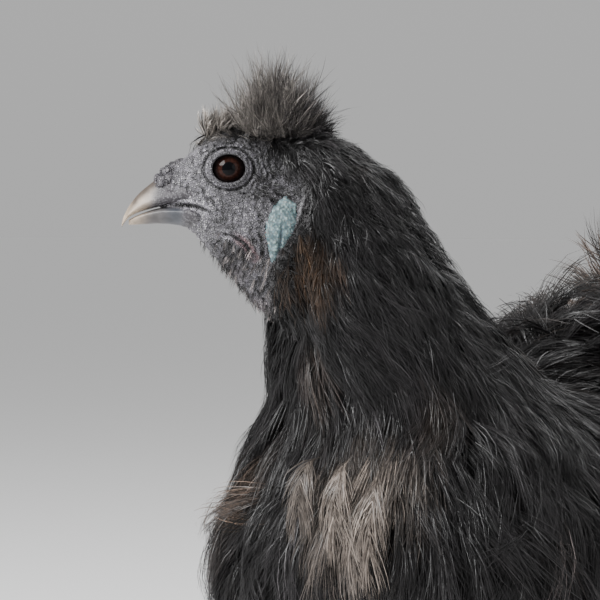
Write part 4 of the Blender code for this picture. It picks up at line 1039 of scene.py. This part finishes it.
def build_leg(name, side):
    """Shank, pad and toes under one scaly skin, and the claws."""
    low, high = (side * 42 - 44, -50, -1), (side * 42 + 44, 38, 64)
    places = lattice(low, high, LEG_VOXEL)
    field = level_field(places, limb(SHANK_ROWS, side), SHANK_SKIN)
    pad = np.linalg.norm((places - leg_place(side, PAD_HEIGHT, 0)) / np.array(PAD_SIZE), axis=-1)
    field = smooth_union(field, (pad - 1) * PAD_SIZE[2], 3)
    plates = 0.5 + 0.5 * np.cos(places[..., 2] * math.tau / SHANK_PLATE)
    nearest = np.where(places[..., 2] > 12, 0.0, 99.0)
    for number, (_, length, root_half, end_half) in TOES.items():
        toe = np.full(places.shape[:-1], 99.0)
        for share in np.linspace(0, 1, 13):
            half = root_half + (end_half - root_half) * share + 0.3 * math.cos(share * math.tau * 2)
            middle = toe_line(side, number, 3 + (length - 3) * share, share, half)
            toe = np.minimum(toe, np.linalg.norm(places - middle, axis=-1) - half * 0.97)
        ahead, _ = toe_frame(side, number)
        along = (places - leg_place(side, 0, 0)) @ ahead
        plates = np.where(toe < nearest, 0.5 + 0.5 * np.cos(along * math.tau / TOE_PLATE), plates)
        nearest = np.minimum(toe, nearest)
        field = smooth_union(field, toe, 1.6)
    plates = plates ** 0.5
    field = field - 0.22 * plates * rise(places[..., 2], 2, 5)
    field = np.maximum(field, 0.05 - places[..., 2])
    points, quads = surface(field, low, LEG_VOXEL)
    index = ((points - np.array(low)) / LEG_VOXEL).round().astype(int)
    plates = plates[tuple(np.clip(index, 0, np.array(plates.shape) - 1).T)]
    leg = new_object("leg_" + name, points, quads, SCALES, "leg_skin", plates=plates)
    toes = [f"toe_{name}_{number}" for number in TOES]
    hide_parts("shank_" + name, "foot_" + name, *toes)
    for number in TOES:
        build_claw(name, side, number)


def build_claw(name, side, number):
    """A claw that bends down to the floor, or the raised one, which bends up."""
    _, length, _, end_half = TOES[number]
    raised = number == RAISED_TOE
    _, across = toe_frame(side, number)
    shares = np.linspace(0, 1, CLAW_RINGS)
    angle = np.linspace(0, math.tau, CLAW_SIDES, endpoint=False)[:, None]
    rings = []
    for share in shares:
        half = end_half * 0.66 * (1 - share) ** 0.75 + 0.15
        bend = (3.5 if raised else 1.0) * share - (0 if raised else 3.2) * share * share
        middle = toe_line(side, number, length - 1.5 + (CLAW_LENGTH + 1.5) * share, 1, end_half)
        middle = middle + np.array((0, 0, bend))
        ring = middle + across * np.cos(angle) * half * 0.8 + np.array((0, 0, 1)) * np.sin(angle) * half
        ring[:, 2] = np.maximum(ring[:, 2], 0.35)
        rings.append(ring)
    points, faces = lofted(rings)
    share = np.append(np.repeat(shares, CLAW_SIDES), (0, 1))
    colours = blended(CLAW_ROOT, CLAW_TIP, share)
    claw = new_object(f"shown_claw_{name}_{number}", points, faces[:, ::-1], HORN, "claw",
                      tint=colours, bare=np.zeros(len(points)))
    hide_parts(f"claw_{name}_{number}")


def scatter(mesh, density, chance):
    """Random places on a surface, with a density per square millimetre that depends on the place."""
    points, quads = mesh
    triangles = np.concatenate((quads[:, (0, 1, 2)], quads[:, (0, 2, 3)]))
    a, b, c = (points[triangles[:, k]] for k in range(3))
    area = np.linalg.norm(np.cross(b - a, c - a), axis=1) / 2
    weight = area * density((a + b + c) / 3)
    picked = np.repeat(np.arange(len(weight)), chance.poisson(weight))
    chance.shuffle(picked)
    u, v = chance.random((2, len(picked), 1))
    over = u + v > 1
    u, v = np.where(over, 1 - u, u), np.where(over, 1 - v, v)
    return a[picked] + (b - a)[picked] * u + (c - a)[picked] * v


def bent(starts, towards, droops, lengths, bend=0.5, steps=7):
    """Guide lines in the open: each sets out one way and bends over to another."""
    share = np.linspace(0, 1, steps)[None, :, None]
    starts, towards, droops = starts[:, None], unit(towards)[:, None], unit(droops)[:, None]
    headings = unit(towards * (1 - bend * share) + droops * bend * share)
    stride = (lengths / (steps - 1))[:, None, None]
    places = starts + np.concatenate((np.zeros_like(starts), np.cumsum(headings[:, :-1] * stride, 1)), 1)
    away = unit(towards - droops * np.sum(towards * droops, -1, keepdims=True) + 1e-3)
    return places, np.broadcast_to(away, places.shape).copy()


def around_axis(points, middle, axis):
    """Unwrap round an axis: the angle round it and the place along it, both from 0 to 1."""
    axis = unit(np.array(axis, float))
    side = unit(np.cross(axis, (0.3, 0.2, 0.9) if abs(axis[2]) < 0.8 else (1.0, 0.1, 0.0)))
    local = points - np.array(middle, float)
    angle = np.arctan2(local @ np.cross(axis, side), local @ side) / math.tau + 0.5
    along = local @ axis
    along = (along - along.min()) / max(np.ptp(along), 1e-6)
    return 0.01 + 0.98 * np.stack((angle, along), -1)


def add_coat(name, guides, normals, colours, plumes, chance, axis, curl=0.6, shortest=0.5, replaced=(),
             barbs=0.4, root_shade=0.25, gather=0.8):
    """One piece of coat: each guide line becomes a loose plume of thin tapering strands.

    Spread and loft are how far the strands part, across the lie and away from the skin. Barbs is the share of
    strands that branch off along the shaft. The others run from the root, and the first is the shaft itself.
    Gather draws their tips together. Root_shade is how light the root is, against 1.2 at the tip: painted
    shade deep in the coat.
    """
    strands, spread, loft, width = plumes
    count, steps = guides.shape[:2]
    tuft = np.repeat(np.arange(count), strands)
    total = len(tuft)
    each = (total, 1)
    share = np.linspace(0, 1, STRAND_POINTS)
    shaft = (np.arange(total) % strands == 0)[:, None]
    barb = (chance.random(each) < barbs) & ~shaft
    first = np.where(barb, chance.uniform(0.04, 0.72, each), 0.0)
    last = first + chance.uniform(0.28, 0.5, each)
    last = np.where(barb, last, chance.uniform(shortest, 1.0, each))
    along = first + (np.minimum(last, 1.0) - first) * share[None]
    place = along * (steps - 1)
    base = np.minimum(place.astype(int), steps - 2)
    part = (place - base)[..., None]
    rows = tuft[:, None]

    def at(lines):
        return lines[rows, base] * (1 - part) + lines[rows, base + 1] * part

    def waver():
        return curl * np.sin(along * chance.uniform(3, 9, each) + chance.uniform(0, math.tau, each)) * along

    centre, normal = at(guides), unit(at(normals))
    tangent = unit(at(unit(np.gradient(guides, axis=1))))
    across = np.cross(normal, tangent)
    spread = np.broadcast_to(spread, count)[tuft][:, None]
    swing = chance.normal(0, 0.55, each)
    lifted = chance.normal(0, 0.5, each)
    wave, other = waver(), waver()
    opening = 1 - (1 - share[None]) ** 1.8
    branching = np.sign(swing) * chance.uniform(0.3, 1.15, each) * opening * (1.15 - 0.6 * first)
    gathered = np.sin(along * math.pi * gather) ** 0.8
    gathered = np.where(chance.random(each) < 0.75, gathered, along**1.3)
    loose = 0.25 * chance.normal(0, 0.6, each) + swing * gathered
    sideways = spread * np.where(barb, branching, np.where(shaft, 0.0, loose))
    sideways = sideways + wave * np.where(shaft, 0.3, 1.0)
    upward = loft * np.where(barb, lifted * opening, lifted * along * ~shaft) + other * ~shaft
    line = centre + across * sideways[..., None] + normal * upward[..., None]
    # Each strand is a flat band of its own roll that tapers to one point.
    heading = unit(np.gradient(line, axis=1))
    roll = chance.normal(0, 0.45, (total, 1, 1)) + chance.normal(0, 0.3, (count, 1, 1))[tuft]
    flat = unit(np.cross(normal, heading))
    flat = flat * np.cos(roll) + np.cross(heading, flat) * np.sin(roll)
    half = width * chance.uniform(0.6, 1.3, each) * (1 - 0.75 * share[None] ** 1.6) / 2
    half = (half * np.where(shaft, 1.25, 1.0))[:, :-1, None]
    corners = 2 * (STRAND_POINTS - 1) + 1
    points = np.empty((total, corners, 3))
    points[:, 0:-1:2] = line[:, :-1] + flat[:, :-1] * half
    points[:, 1:-1:2] = line[:, :-1] - flat[:, :-1] * half
    points[:, -1] = line[:, -1]
    pattern = []
    for k in range(0, corners - 3, 2):
        pattern += [(k, k + 1, k + 3), (k, k + 3, k + 2)]
    pattern.append((corners - 3, corners - 2, corners - 1))
    faces = (np.arange(total)[:, None, None] * corners + np.array(pattern)[None]).reshape(-1, 3)
    # The tint grows lighter from root to tip, partly the tips' own paler tint and partly painted shade deep
    # in the coat, and differs from plume to plume and from strand to strand.
    bright = np.exp(chance.normal(0, 0.35, (total, 1, 1)) + chance.normal(0, 0.5, (count, 1, 1))[tuft])
    bright = bright * np.where(shaft, 1.3, 1.0)[..., None]
    levels = np.append(np.repeat(share[:-1], 2), 1.0)[None, :, None]
    shades = (colours[tuft][:, None] * bright * (root_shade + (1.2 - root_shade) * levels)).reshape(-1, 3)
    coat = new_object(name, points.reshape(-1, 3), faces, PLUMAGE, "plumage", tint=shades)
    # On the map each strand has a narrow strip of its own near the spot of its root.
    patch = around_axis(guides[:, 0], *axis)[tuft][:, None]
    strip = np.empty((total, corners, 2))
    strip[..., 0], strip[..., 1] = levels[..., 0] - 0.5, chance.uniform(-0.5, 0.5, each)
    spots = np.clip(patch + strip * STRIP_SIZE, 0, 1).reshape(-1, 2)
    layer = coat.data.uv_layers.new(name="OFBake")
    layer.data.foreach_set("uv", spots[faces.ravel()].astype(np.float32).ravel())
    if replaced:
        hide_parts(*replaced)


def add_head_coat(name, guides, normals, shades, chance, place, **more):
    """A piece of coat from guide lines in the head's frame, unwrapped round an upright axis at a place."""
    axis = (from_head(head_place(*place)), UPRIGHT)
    guides, normals = from_head(guides), turned(normals, HEAD_TURN)
    add_coat(name, guides, normals, shades, PLUMES[name], chance, axis, **more)


# Axes round which the coat's map is unwrapped: middle, heading.
NECK_AXIS = ((-5, -77, 200), (13, 46, -100))
TORSO_AXIS = ((0, 0, 140), (0, 1, 0))
FLOW_SOURCE = np.array((0.0, -55.0, 200.0))
# Coats of the body: tufts per square millimetre, length, layers, strands, spread, loft and width of a strand.
COATS = {
    "hackle": (0.085, 34, (0.45, 1.0), 18, 2.9, 1.5, 0.2),
    "breast": (0.07, 44, (0.35, 0.92), 24, 4.2, 2.4, 0.22),
    "back": (0.045, 42, (0.35, 1.0), 25, 5.5, 2.4, 0.4),
    "saddle": (0.045, 44, (1.0, 1.5), 30, 6.0, 4.0, 0.34),
    "belly": (0.034, 36, (0.35, 1.0), 22, 5.5, 2.4, 0.5),
    "wing": (0.07, 56, (0.8, 1.0), 24, 4.6, 1.2, 0.42),
}
# The other coats: strands, spread, loft and width of a strand, in a row for each piece.
PLUMES = {
    "coat_crest": (17, 3.4, 3.4, 0.13),
    "coat_fringe": (12, 1.5, 1.4, 0.17),
    "coat_head": (9, 1.0, 0.8, 0.17),
    "coat_throat": (6, 0.8, 0.6, 0.11),
    "coat_pale": (120, 5.0, 0.6, 0.24),
    "coat_leg_left": (26, 2.6, 1.6, 0.32),
    "coat_leg_right": (26, 2.6, 1.6, 0.32),
}
# How far a plume and a whole feather stand out from root to tip, as shares of the coat's depth.
COAT_PROFILE = np.array((0.0, 0.42, 0.7, 0.86, 0.93, 0.94, 0.91, 0.85))
FEATHER_PROFILE = np.array((0.7, 0.95, 1.0, 1.0, 0.98, 0.95, 0.92, 0.88))
CHARCOAL = np.array((0.0088, 0.008, 0.0085))
GREY_BROWN = np.array((0.21, 0.175, 0.15))
RUST = np.array((0.078, 0.043, 0.021))
BROWN = np.array((0.15, 0.105, 0.078))
CREST_GREY = np.array((0.2, 0.182, 0.165))
TAIL_BROWN = np.array((0.085, 0.066, 0.056))
# Paler places of the coat: middle, reach along x, y and z, tint, strength.
MARKINGS = (
    ((14, -110, 161), (22, 22, 20), GREY_BROWN, 0.9),
    ((-8, -106, 228), (14, 14, 11), RUST, 0.6),
    ((-42, -98, 163), (12, 14, 12), BROWN, 0.8),
)


def coat_colours(points, chance):
    """Charcoal with the paler places and soft brown and grey patches from tuft to tuft."""
    colours = CHARCOAL * np.exp(0.22 * ripple(points, 26, 31))[..., None]
    colours = blended(colours, BROWN * 0.3, 0.35 * rise(ripple(points, 34, 33), 0.6, 1.8))
    for middle, size, colour, strength in MARKINGS:
        near = np.linalg.norm((points - np.array(middle)) / np.array(size), axis=-1)
        share = strength * (1 - rise(near, 0.5, 1.15)) * chance.uniform(0.35, 1, len(points))
        colours = blended(colours, colour, share)
    return blended(colours, TAIL_BROWN, 0.7 * rise(points[:, 1], 60, 105) * rise(points[:, 2], 165, 200))


def coat_depth(points):
    """How deep the skin lies under the coat's outline."""
    thighs = [level_field(points, limb(THIGH_ROWS, side), 1.0) for side in (1, -1)]
    field = np.minimum(torso_field(points, 1.0), level_field(points, NECK_TABLE, 1.0))
    field = np.minimum(field, tail_field(points, TAIL_COAT))
    return np.clip(-np.minimum(field, np.minimum(*thighs)), 2.0, 20.0)


def body_flow(points):
    """Down the neck, away from its foot over the breast and back, and straight down the thighs."""
    radial = unit(points - FLOW_SOURCE)
    down = unit(np.array((13.0, 40.0, -100.0)))
    heading = blended(radial, down, rise(points[..., 2], 172, 205))
    low = rise(-points[..., 2], -95, -65)
    return unit(blended(heading, (0.0, 0.25, -1.0), low))


def off_face(points):
    """1 where the head carries feathers, 0 on the bare face and throat."""
    local = mirrored(to_head(points))
    near = np.linalg.norm(local - head_place(-5, -12), axis=-1) < 46
    return np.where(near & (face_depth(local) > -1.5), 0.0, 1.0)


def in_view(points):
    """1 on the breast and neck that the camera faces, 0 behind and below."""
    return rise(points[..., 0] * 0.53 - points[..., 1] * 0.848, 5, 55) * rise(points[..., 2], 120, 150)


def on_wing(points):
    """Whether a place lies on a folded wing."""
    back, up, side = points[..., 1], points[..., 2], np.abs(points[..., 0])
    share = np.clip((back - WING_FRONT) / (WING_REAR - WING_FRONT), 0, 1)
    half = WING_HALF * (1 - 0.62 * share) * np.sqrt(np.clip((share + 0.06) / 0.2, 0, 1))
    line = WING_TOP_FRONT - (back - WING_FRONT) * WING_SLOPE
    return (side > 30) & (back > WING_FRONT - 2) & (back < WING_REAR) & (np.abs(up - line) < half)


def clothe(name, body, mesh, where, plan, seed, axis=TORSO_AXIS, extra=0.0, shade=1.0, stray=0.2, **more):
    """Coats a region of the body by a row of COATS: where gives 1 inside it.

    Extra is added to the coat's depth, shade makes it lighter, and stray is how far its plumes leave the lie.
    """
    density, length, layers, *plumes = COATS[plan]
    chance = np.random.default_rng(seed)

    def crowding(p):
        return where(p) * off_face(p) * density * (0.75 + 1.25 * in_view(p))

    roots = scatter(mesh, crowding, chance)
    depth = coat_depth(roots) + extra
    layer = chance.uniform(*layers, len(roots))
    lifts = 0.3 + depth[:, None] * layer[:, None] * COAT_PROFILE[None]
    lengths = length * chance.uniform(0.75, 1.15, len(roots)) * (0.6 + 0.4 * np.clip(depth / 12, 0, 1.2))
    lengths *= 1 - 0.45 * rise(roots[:, 2], 222, 250)
    sway = 0.6 * stray * chance.normal(size=(len(roots), 3))
    turn = stray * np.stack([ripple(roots, 30, seed + k) for k in range(3)], -1)

    def flow(points):
        return unit(body_flow(points) + sway + turn)

    guides, normals = body.follow(roots, flow, lengths, lifts)
    colours = coat_colours(guides[:, 4], chance) * shade
    add_coat(name, guides, normals, colours, plumes, chance, axis, gather=0.94, barbs=0.3, **more)


def build_body_coat(body, mesh):
    """The coats of neck, breast, back, rump, belly and wings."""
    def neck(p):
        return rise(p[..., 2], 176, 186) * (p[..., 1] < -15)

    def breast(p):
        return (1 - neck(p)) * (p[..., 1] < -35) * (p[..., 2] > 90) * ~on_wing(p)

    def back(p):
        return (1 - neck(p)) * (p[..., 1] >= -35) * (p[..., 2] > 125) * ~on_wing(p)

    def belly(p):
        return ((p[..., 2] <= 125) & (p[..., 1] >= -35) | (p[..., 2] <= 90)) * 1.0

    def saddle(p):
        return (p[..., 1] > 34) * (p[..., 2] > 172) * ~on_wing(p)

    def half(region, sign):
        """One side of a region, which on the neck reaches a little past the middle."""
        return lambda p: region(p) * (p[..., 0] * sign > np.where(p[..., 2] > 190, -5.0, 0.0))

    for name, sign in SIDES:
        clothe("coat_hackle_" + name, body, mesh, half(neck, sign), "hackle", 60 + sign, NECK_AXIS,
               stray=0.26, curl=0.35)
        clothe("coat_breast_" + name, body, mesh, half(breast, sign), "breast", 70 + sign,
               stray=0.32, curl=0.4)
    clothe("coat_back", body, mesh, back, "back", 80, curl=0.4)
    clothe("coat_saddle", body, mesh, saddle, "saddle", 86, curl=0.5)
    clothe("coat_belly", body, mesh, belly, "belly", 83)
    for name, sign in SIDES:
        def wing(p, sign=sign):
            return on_wing(p) * (p[..., 0] * sign > 0)

        clothe("coat_wing_" + name, body, mesh, wing, "wing", 90 + sign, extra=8.0, shade=2.6, stray=0.12,
               replaced=("wing_" + name,))


# Whole pale feathers on the breast: place of the root, length.
PALE_FEATHERS = (((-1, -112, 179), 30), ((9, -110, 178), 36), ((18, -106, 173), 40), ((13, -108, 163), 34))


def build_pale_feathers(body):
    """A few whole pale feathers with a light shaft, among the locks of the breast."""
    chance = np.random.default_rng(141)
    roots = np.array([place for place, _ in PALE_FEATHERS], float)
    lengths = np.array([length for _, length in PALE_FEATHERS], float)
    for _ in range(4):
        roots = roots - body.normal(roots) * body.distance(roots)[:, None]
    lifts = (coat_depth(roots)[:, None] + 1.0) * FEATHER_PROFILE[None]
    guides, normals = body.follow(roots, body_flow, lengths, lifts)
    shades = np.broadcast_to(GREY_BROWN * 0.55, (len(roots), 3))
    add_coat("coat_pale", guides, normals, shades, PLUMES["coat_pale"], chance, TORSO_AXIS,
             curl=0.4, barbs=1.0, root_shade=0.8)


def build_crest(head):
    """A loose upright puff of fine plumes on the crown, with a low ragged fringe before it."""
    chance = np.random.default_rng(101)
    count = CREST_PLUMES
    forward, height = CREST_PLACE
    out = np.sqrt(chance.random(count))
    angle = chance.uniform(0, math.tau, count)
    across, back = np.cos(angle) * out, np.sin(angle) * out
    roots = (across * CREST_HALF[0] * 0.8, -forward + back * CREST_HALF[1] * 0.84, height - 2.5 * out - 2)
    roots = np.stack(roots, -1)
    rear = rise(back, -0.1, 1.0)
    low = 1.0 - 0.2 * out - 0.6 * out**6
    towards = np.stack((across * 0.5, 0.5 * rear - 0.04, low), -1)
    towards = towards + 0.2 * chance.normal(size=(count, 3))
    droops = np.stack((across * 1.1, 0.05 + 0.4 * rear, -0.3 * out + 0.2), -1)
    droops = droops + 0.5 * chance.normal(size=(count, 3))
    lengths = chance.uniform(12, 28, count) * (1.08 - 0.2 * out**2 - 0.25 * out**6 - 0.55 * rear)
    guides, normals = bent(roots, towards, droops, lengths, 0.5)
    front = np.clip(-back * 0.6 + 0.35 + 0.25 * chance.normal(size=count), 0, 1)
    shades = blended(CHARCOAL * 2, CREST_GREY, 0.9 * front)
    add_head_coat("coat_crest", guides, normals, shades, chance, CREST_PLACE,
                  curl=0.9, replaced=("crest",), shortest=0.45, barbs=0.45, root_shade=0.6)
    count = FRINGE_PLUMES
    roots = (chance.uniform(-5.5, 5.5, count), chance.uniform(-13.5, 0.5, count), np.full(count, 20.0))
    roots = np.stack(roots, -1)
    roots = roots - head.normal(roots) * head.distance(roots)[:, None]
    towards = np.stack((roots[:, 0] * 0.1, np.full(count, -0.25), np.full(count, 0.9)), -1)
    towards = towards + 0.35 * chance.normal(size=(count, 3))
    droops = np.stack((roots[:, 0] * 0.1, np.full(count, 0.5), np.full(count, 0.4)), -1)
    lengths = chance.uniform(5, 11, count) - 3 * rise(roots[:, 1], -4, 3)
    guides, normals = bent(roots, towards, droops, lengths, 0.6)
    shades = CREST_GREY * np.exp(0.35 * chance.normal(size=(count, 1)))
    add_head_coat("coat_fringe", guides, normals, shades, chance, (0, 8),
                  curl=0.5, barbs=0.3, root_shade=0.6)


def build_head_coat(head, mesh):
    """Short dark plumes round the bare face, bristles over the ear and sparse pale ones down the throat."""
    chance = np.random.default_rng(111)

    def feathered(p):
        depth = face_depth(mirrored(p))
        height, forward = p[..., 2], -p[..., 1]
        edge = np.where((depth < 0.5) & (height > -44) & (height < 17) & (forward > -22), 1.0, 0.0)
        return np.maximum(edge * 0.32, (from_place(p, EAR_PLACE) < 6.5) * 0.2)

    roots = scatter(mesh, feathered, chance)
    depth = -face_depth(mirrored(roots))
    lengths = 3.2 + 10.0 * rise(depth, -1, 8)
    lifts = 0.1 + (0.7 + 4.0 * rise(depth, 0, 10))[:, None] * np.array((0.0, 0.5, 0.8, 1.0, 1.05, 1.0))[None]
    sway = 0.3 * chance.normal(size=(len(roots), 3))

    def flow(points):
        down = np.where(points[..., 2] > 4, 0.25, -0.55)
        heading = np.stack((points[..., 0] * 0.03, np.ones(len(points)), down), -1)
        return unit(heading + sway)

    guides, normals = head.follow(roots, flow, lengths, lifts * chance.uniform(0.5, 1.0, (len(roots), 1)))
    shades = CHARCOAL * np.exp(0.35 * chance.normal(size=(len(roots), 1)))
    shades = blended(shades, CREST_GREY, 0.6 * rise(-roots[:, 1], 2, 7))
    add_head_coat("coat_head", guides, normals, shades, chance, (-10, 0), curl=0.25, barbs=0.3)

    def throat(p):
        local = mirrored(p)
        low = rise(-local[..., 2], 19, 24) * (face_depth(local) > -2)
        patch = bump(from_place(local, (-1.0, -23.5)), 5.0)
        return 0.3 * low + 0.4 * patch * (local[..., 2] < -17)

    roots = scatter(mesh, throat, chance)
    lengths = chance.uniform(2.2, 6.5, len(roots)) * (0.6 + 0.4 * rise(-roots[:, 2], 20, 36))
    lifts = np.linspace(0.0, 1.0, 6)[None] * chance.uniform(0.5, 3.0, (len(roots), 1))
    sway = 0.3 * chance.normal(size=(len(roots), 3))

    def downward(points):
        return unit(np.array((0.0, -0.25, -1.0)) + sway)

    guides, normals = head.follow(roots, downward, lengths, lifts)
    pale = chance.random((len(roots), 1)) < 0.3
    shades = np.where(pale, (0.16, 0.14, 0.135), CHARCOAL * 1.6)
    add_head_coat("coat_throat", guides, normals, shades, chance, (-2, -30), curl=0.15, barbs=0.0)


def build_tail():
    """A soft cushion of loose plumes, fanned up and back."""
    chance = np.random.default_rng(121)
    starts, towards, droops, lengths, spreads = [], [], [], [], []
    for count, spread, climb, length, wide in TAIL_TIERS:
        for _ in range(count * 5):
            yaw = math.radians(spread) * chance.uniform(-1, 1)
            pitch = math.radians(climb + chance.uniform(-10, 10)) - 0.15 * abs(yaw)
            level = math.cos(pitch)
            toward = np.array((math.sin(yaw) * level, math.cos(yaw) * level, math.sin(pitch)))
            starts.append(TAIL_MIDDLE + toward * TAIL_CORE * 0.7)
            towards.append(toward)
            droops.append((math.sin(yaw) * 0.5, 0.35, -0.8))
            lengths.append(length * chance.uniform(0.62, 1.04) - 9)
            spreads.append(wide * 0.6)
    lines = [np.array(rows) for rows in (starts, towards, droops, lengths)]
    guides, normals = bent(*lines, 0.45)
    shades = blended(CHARCOAL, TAIL_BROWN, chance.uniform(0.2, 1, len(guides)))
    plumes = (TAIL_STRANDS, np.array(spreads), 5.0, 0.38)
    add_coat("coat_tail", guides, normals, shades, plumes, chance, (TAIL_ROOT, (0, 1, 0)),
             curl=0.9, replaced=("tail",))


def build_leg_coat():
    """Loose plumes down the outside of each shank and over the foot."""
    for name, side in SIDES:
        chance = np.random.default_rng(130 + side)
        count = LEG_PLUMES
        height = chance.uniform(26, 62, count)
        behind = np.interp(height, (15, 60), (2.2, 18))
        angle = chance.uniform(-1.0, 1.6, count)
        towards = np.stack((side * np.cos(angle), np.sin(angle) - 0.4, np.full(count, -1.1)), -1)
        starts = (side * (LEG_SIDE + 3.6 * np.cos(angle)), FOOT_BACK + behind + 3.6 * np.sin(angle), height)
        lengths = np.minimum(chance.uniform(12, 20, count), height - 8)
        droops = np.broadcast_to((side * 0.12, -0.36, -1.0), towards.shape)
        guides, normals = bent(np.stack(starts, -1), towards, droops, lengths, 0.8)
        shades = CHARCOAL * np.exp(0.3 * chance.normal(size=(count, 1)))
        coat = "coat_leg_" + name
        add_coat(coat, guides, normals, shades, PLUMES[coat], chance, (leg_place(side, 30, 8), UPRIGHT))


def bearing(azimuth, elevation):
    """The way towards a bearing, in degrees from straight ahead of the hen and up from level."""
    azimuth, elevation = math.radians(azimuth), math.radians(elevation)
    level = math.cos(elevation)
    return np.array((math.sin(azimuth) * level, -math.cos(azimuth) * level, math.sin(elevation)))


def place_camera():
    """The camera at its bearing, looking back along it."""
    back = bearing(VIEW_AZIMUTH, VIEW_ELEVATION)
    data = bpy.data.cameras.new("camera")
    data.sensor_width = SENSOR
    data.lens = SENSOR / 2 * VIEW_DISTANCE / VIEW_HALF
    camera = into_scene("camera", data)
    camera.location = in_metres(VIEW_CENTRE + back * VIEW_DISTANCE)
    camera.rotation_euler = Vector(back).to_track_quat("Z", "Y").to_euler()
    bpy.context.scene.camera = camera


def add_light(name, azimuth, elevation, distance, size, power):
    """A soft round lamp that looks at the neck from a bearing round it."""
    back = Vector(bearing(azimuth, elevation))
    data = bpy.data.lights.new(name, "AREA")
    data.shape = "DISK"
    data.size = size
    data.energy = power
    lamp = into_scene(name, data)
    lamp.location = Vector(in_metres(LIT_PLACE)) + back * distance
    lamp.rotation_euler = back.to_track_quat("Z", "Y").to_euler()


def build_stage():
    """A plain pale floor that runs far back, soft lamps and a pale surround."""
    mesh = bpy.data.meshes.new("floor")
    around = ((-1, -1), (1, -1), (1, 1), (-1, 1))
    mesh.from_pydata([(x * FLOOR_REACH, y * FLOOR_REACH, 0) for x, y in around], [], [(0, 1, 2, 3)])
    paint = Paint("floor_pale", 0.75, 0.2)
    paint.put("Base Color", FLOOR_TINT)
    mesh.materials.append(paint.material)
    floor = into_scene("floor", mesh)
    world = bpy.data.worlds.new("surround")
    world.use_nodes = True
    tree = world.node_tree
    place = node(tree, "ShaderNodeTexCoord")
    apart = node(tree, "ShaderNodeSeparateXYZ")
    tree.links.new(place.outputs["Generated"], apart.inputs[0])
    # A little brighter overhead, so that the far floor and the surround meet without a line.
    sky = node(tree, "ShaderNodeMapRange")
    tree.links.new(apart.outputs["Z"], sky.inputs["Value"])
    sky.inputs["To Min"].default_value = SURROUND
    sky.inputs["To Max"].default_value = SURROUND * OVERHEAD
    tree.links.new(sky.outputs[0], tree.nodes["Background"].inputs["Strength"])
    tree.nodes["Background"].inputs["Color"].default_value = (1, 1, 1, 1)
    bpy.context.scene.world = world
    for name, lamp in LAMPS.items():
        add_light(name, *lamp)


PLUMAGE = plumage_material()
SKIN = skin_material()
HORN = horn_material()
LOBE = lobe_material()
EYE = eye_material()
SCALES = scale_material()

body, body_mesh, head, head_mesh = build_skin()
build_bill()
build_comb()
build_lobes(head)
build_eyes()
for name, side in SIDES:
    build_leg(name, side)
build_body_coat(body, body_mesh)
build_pale_feathers(body)
build_crest(head)
build_head_coat(head, head_mesh)
build_tail()
build_leg_coat()
place_camera()
build_stage()
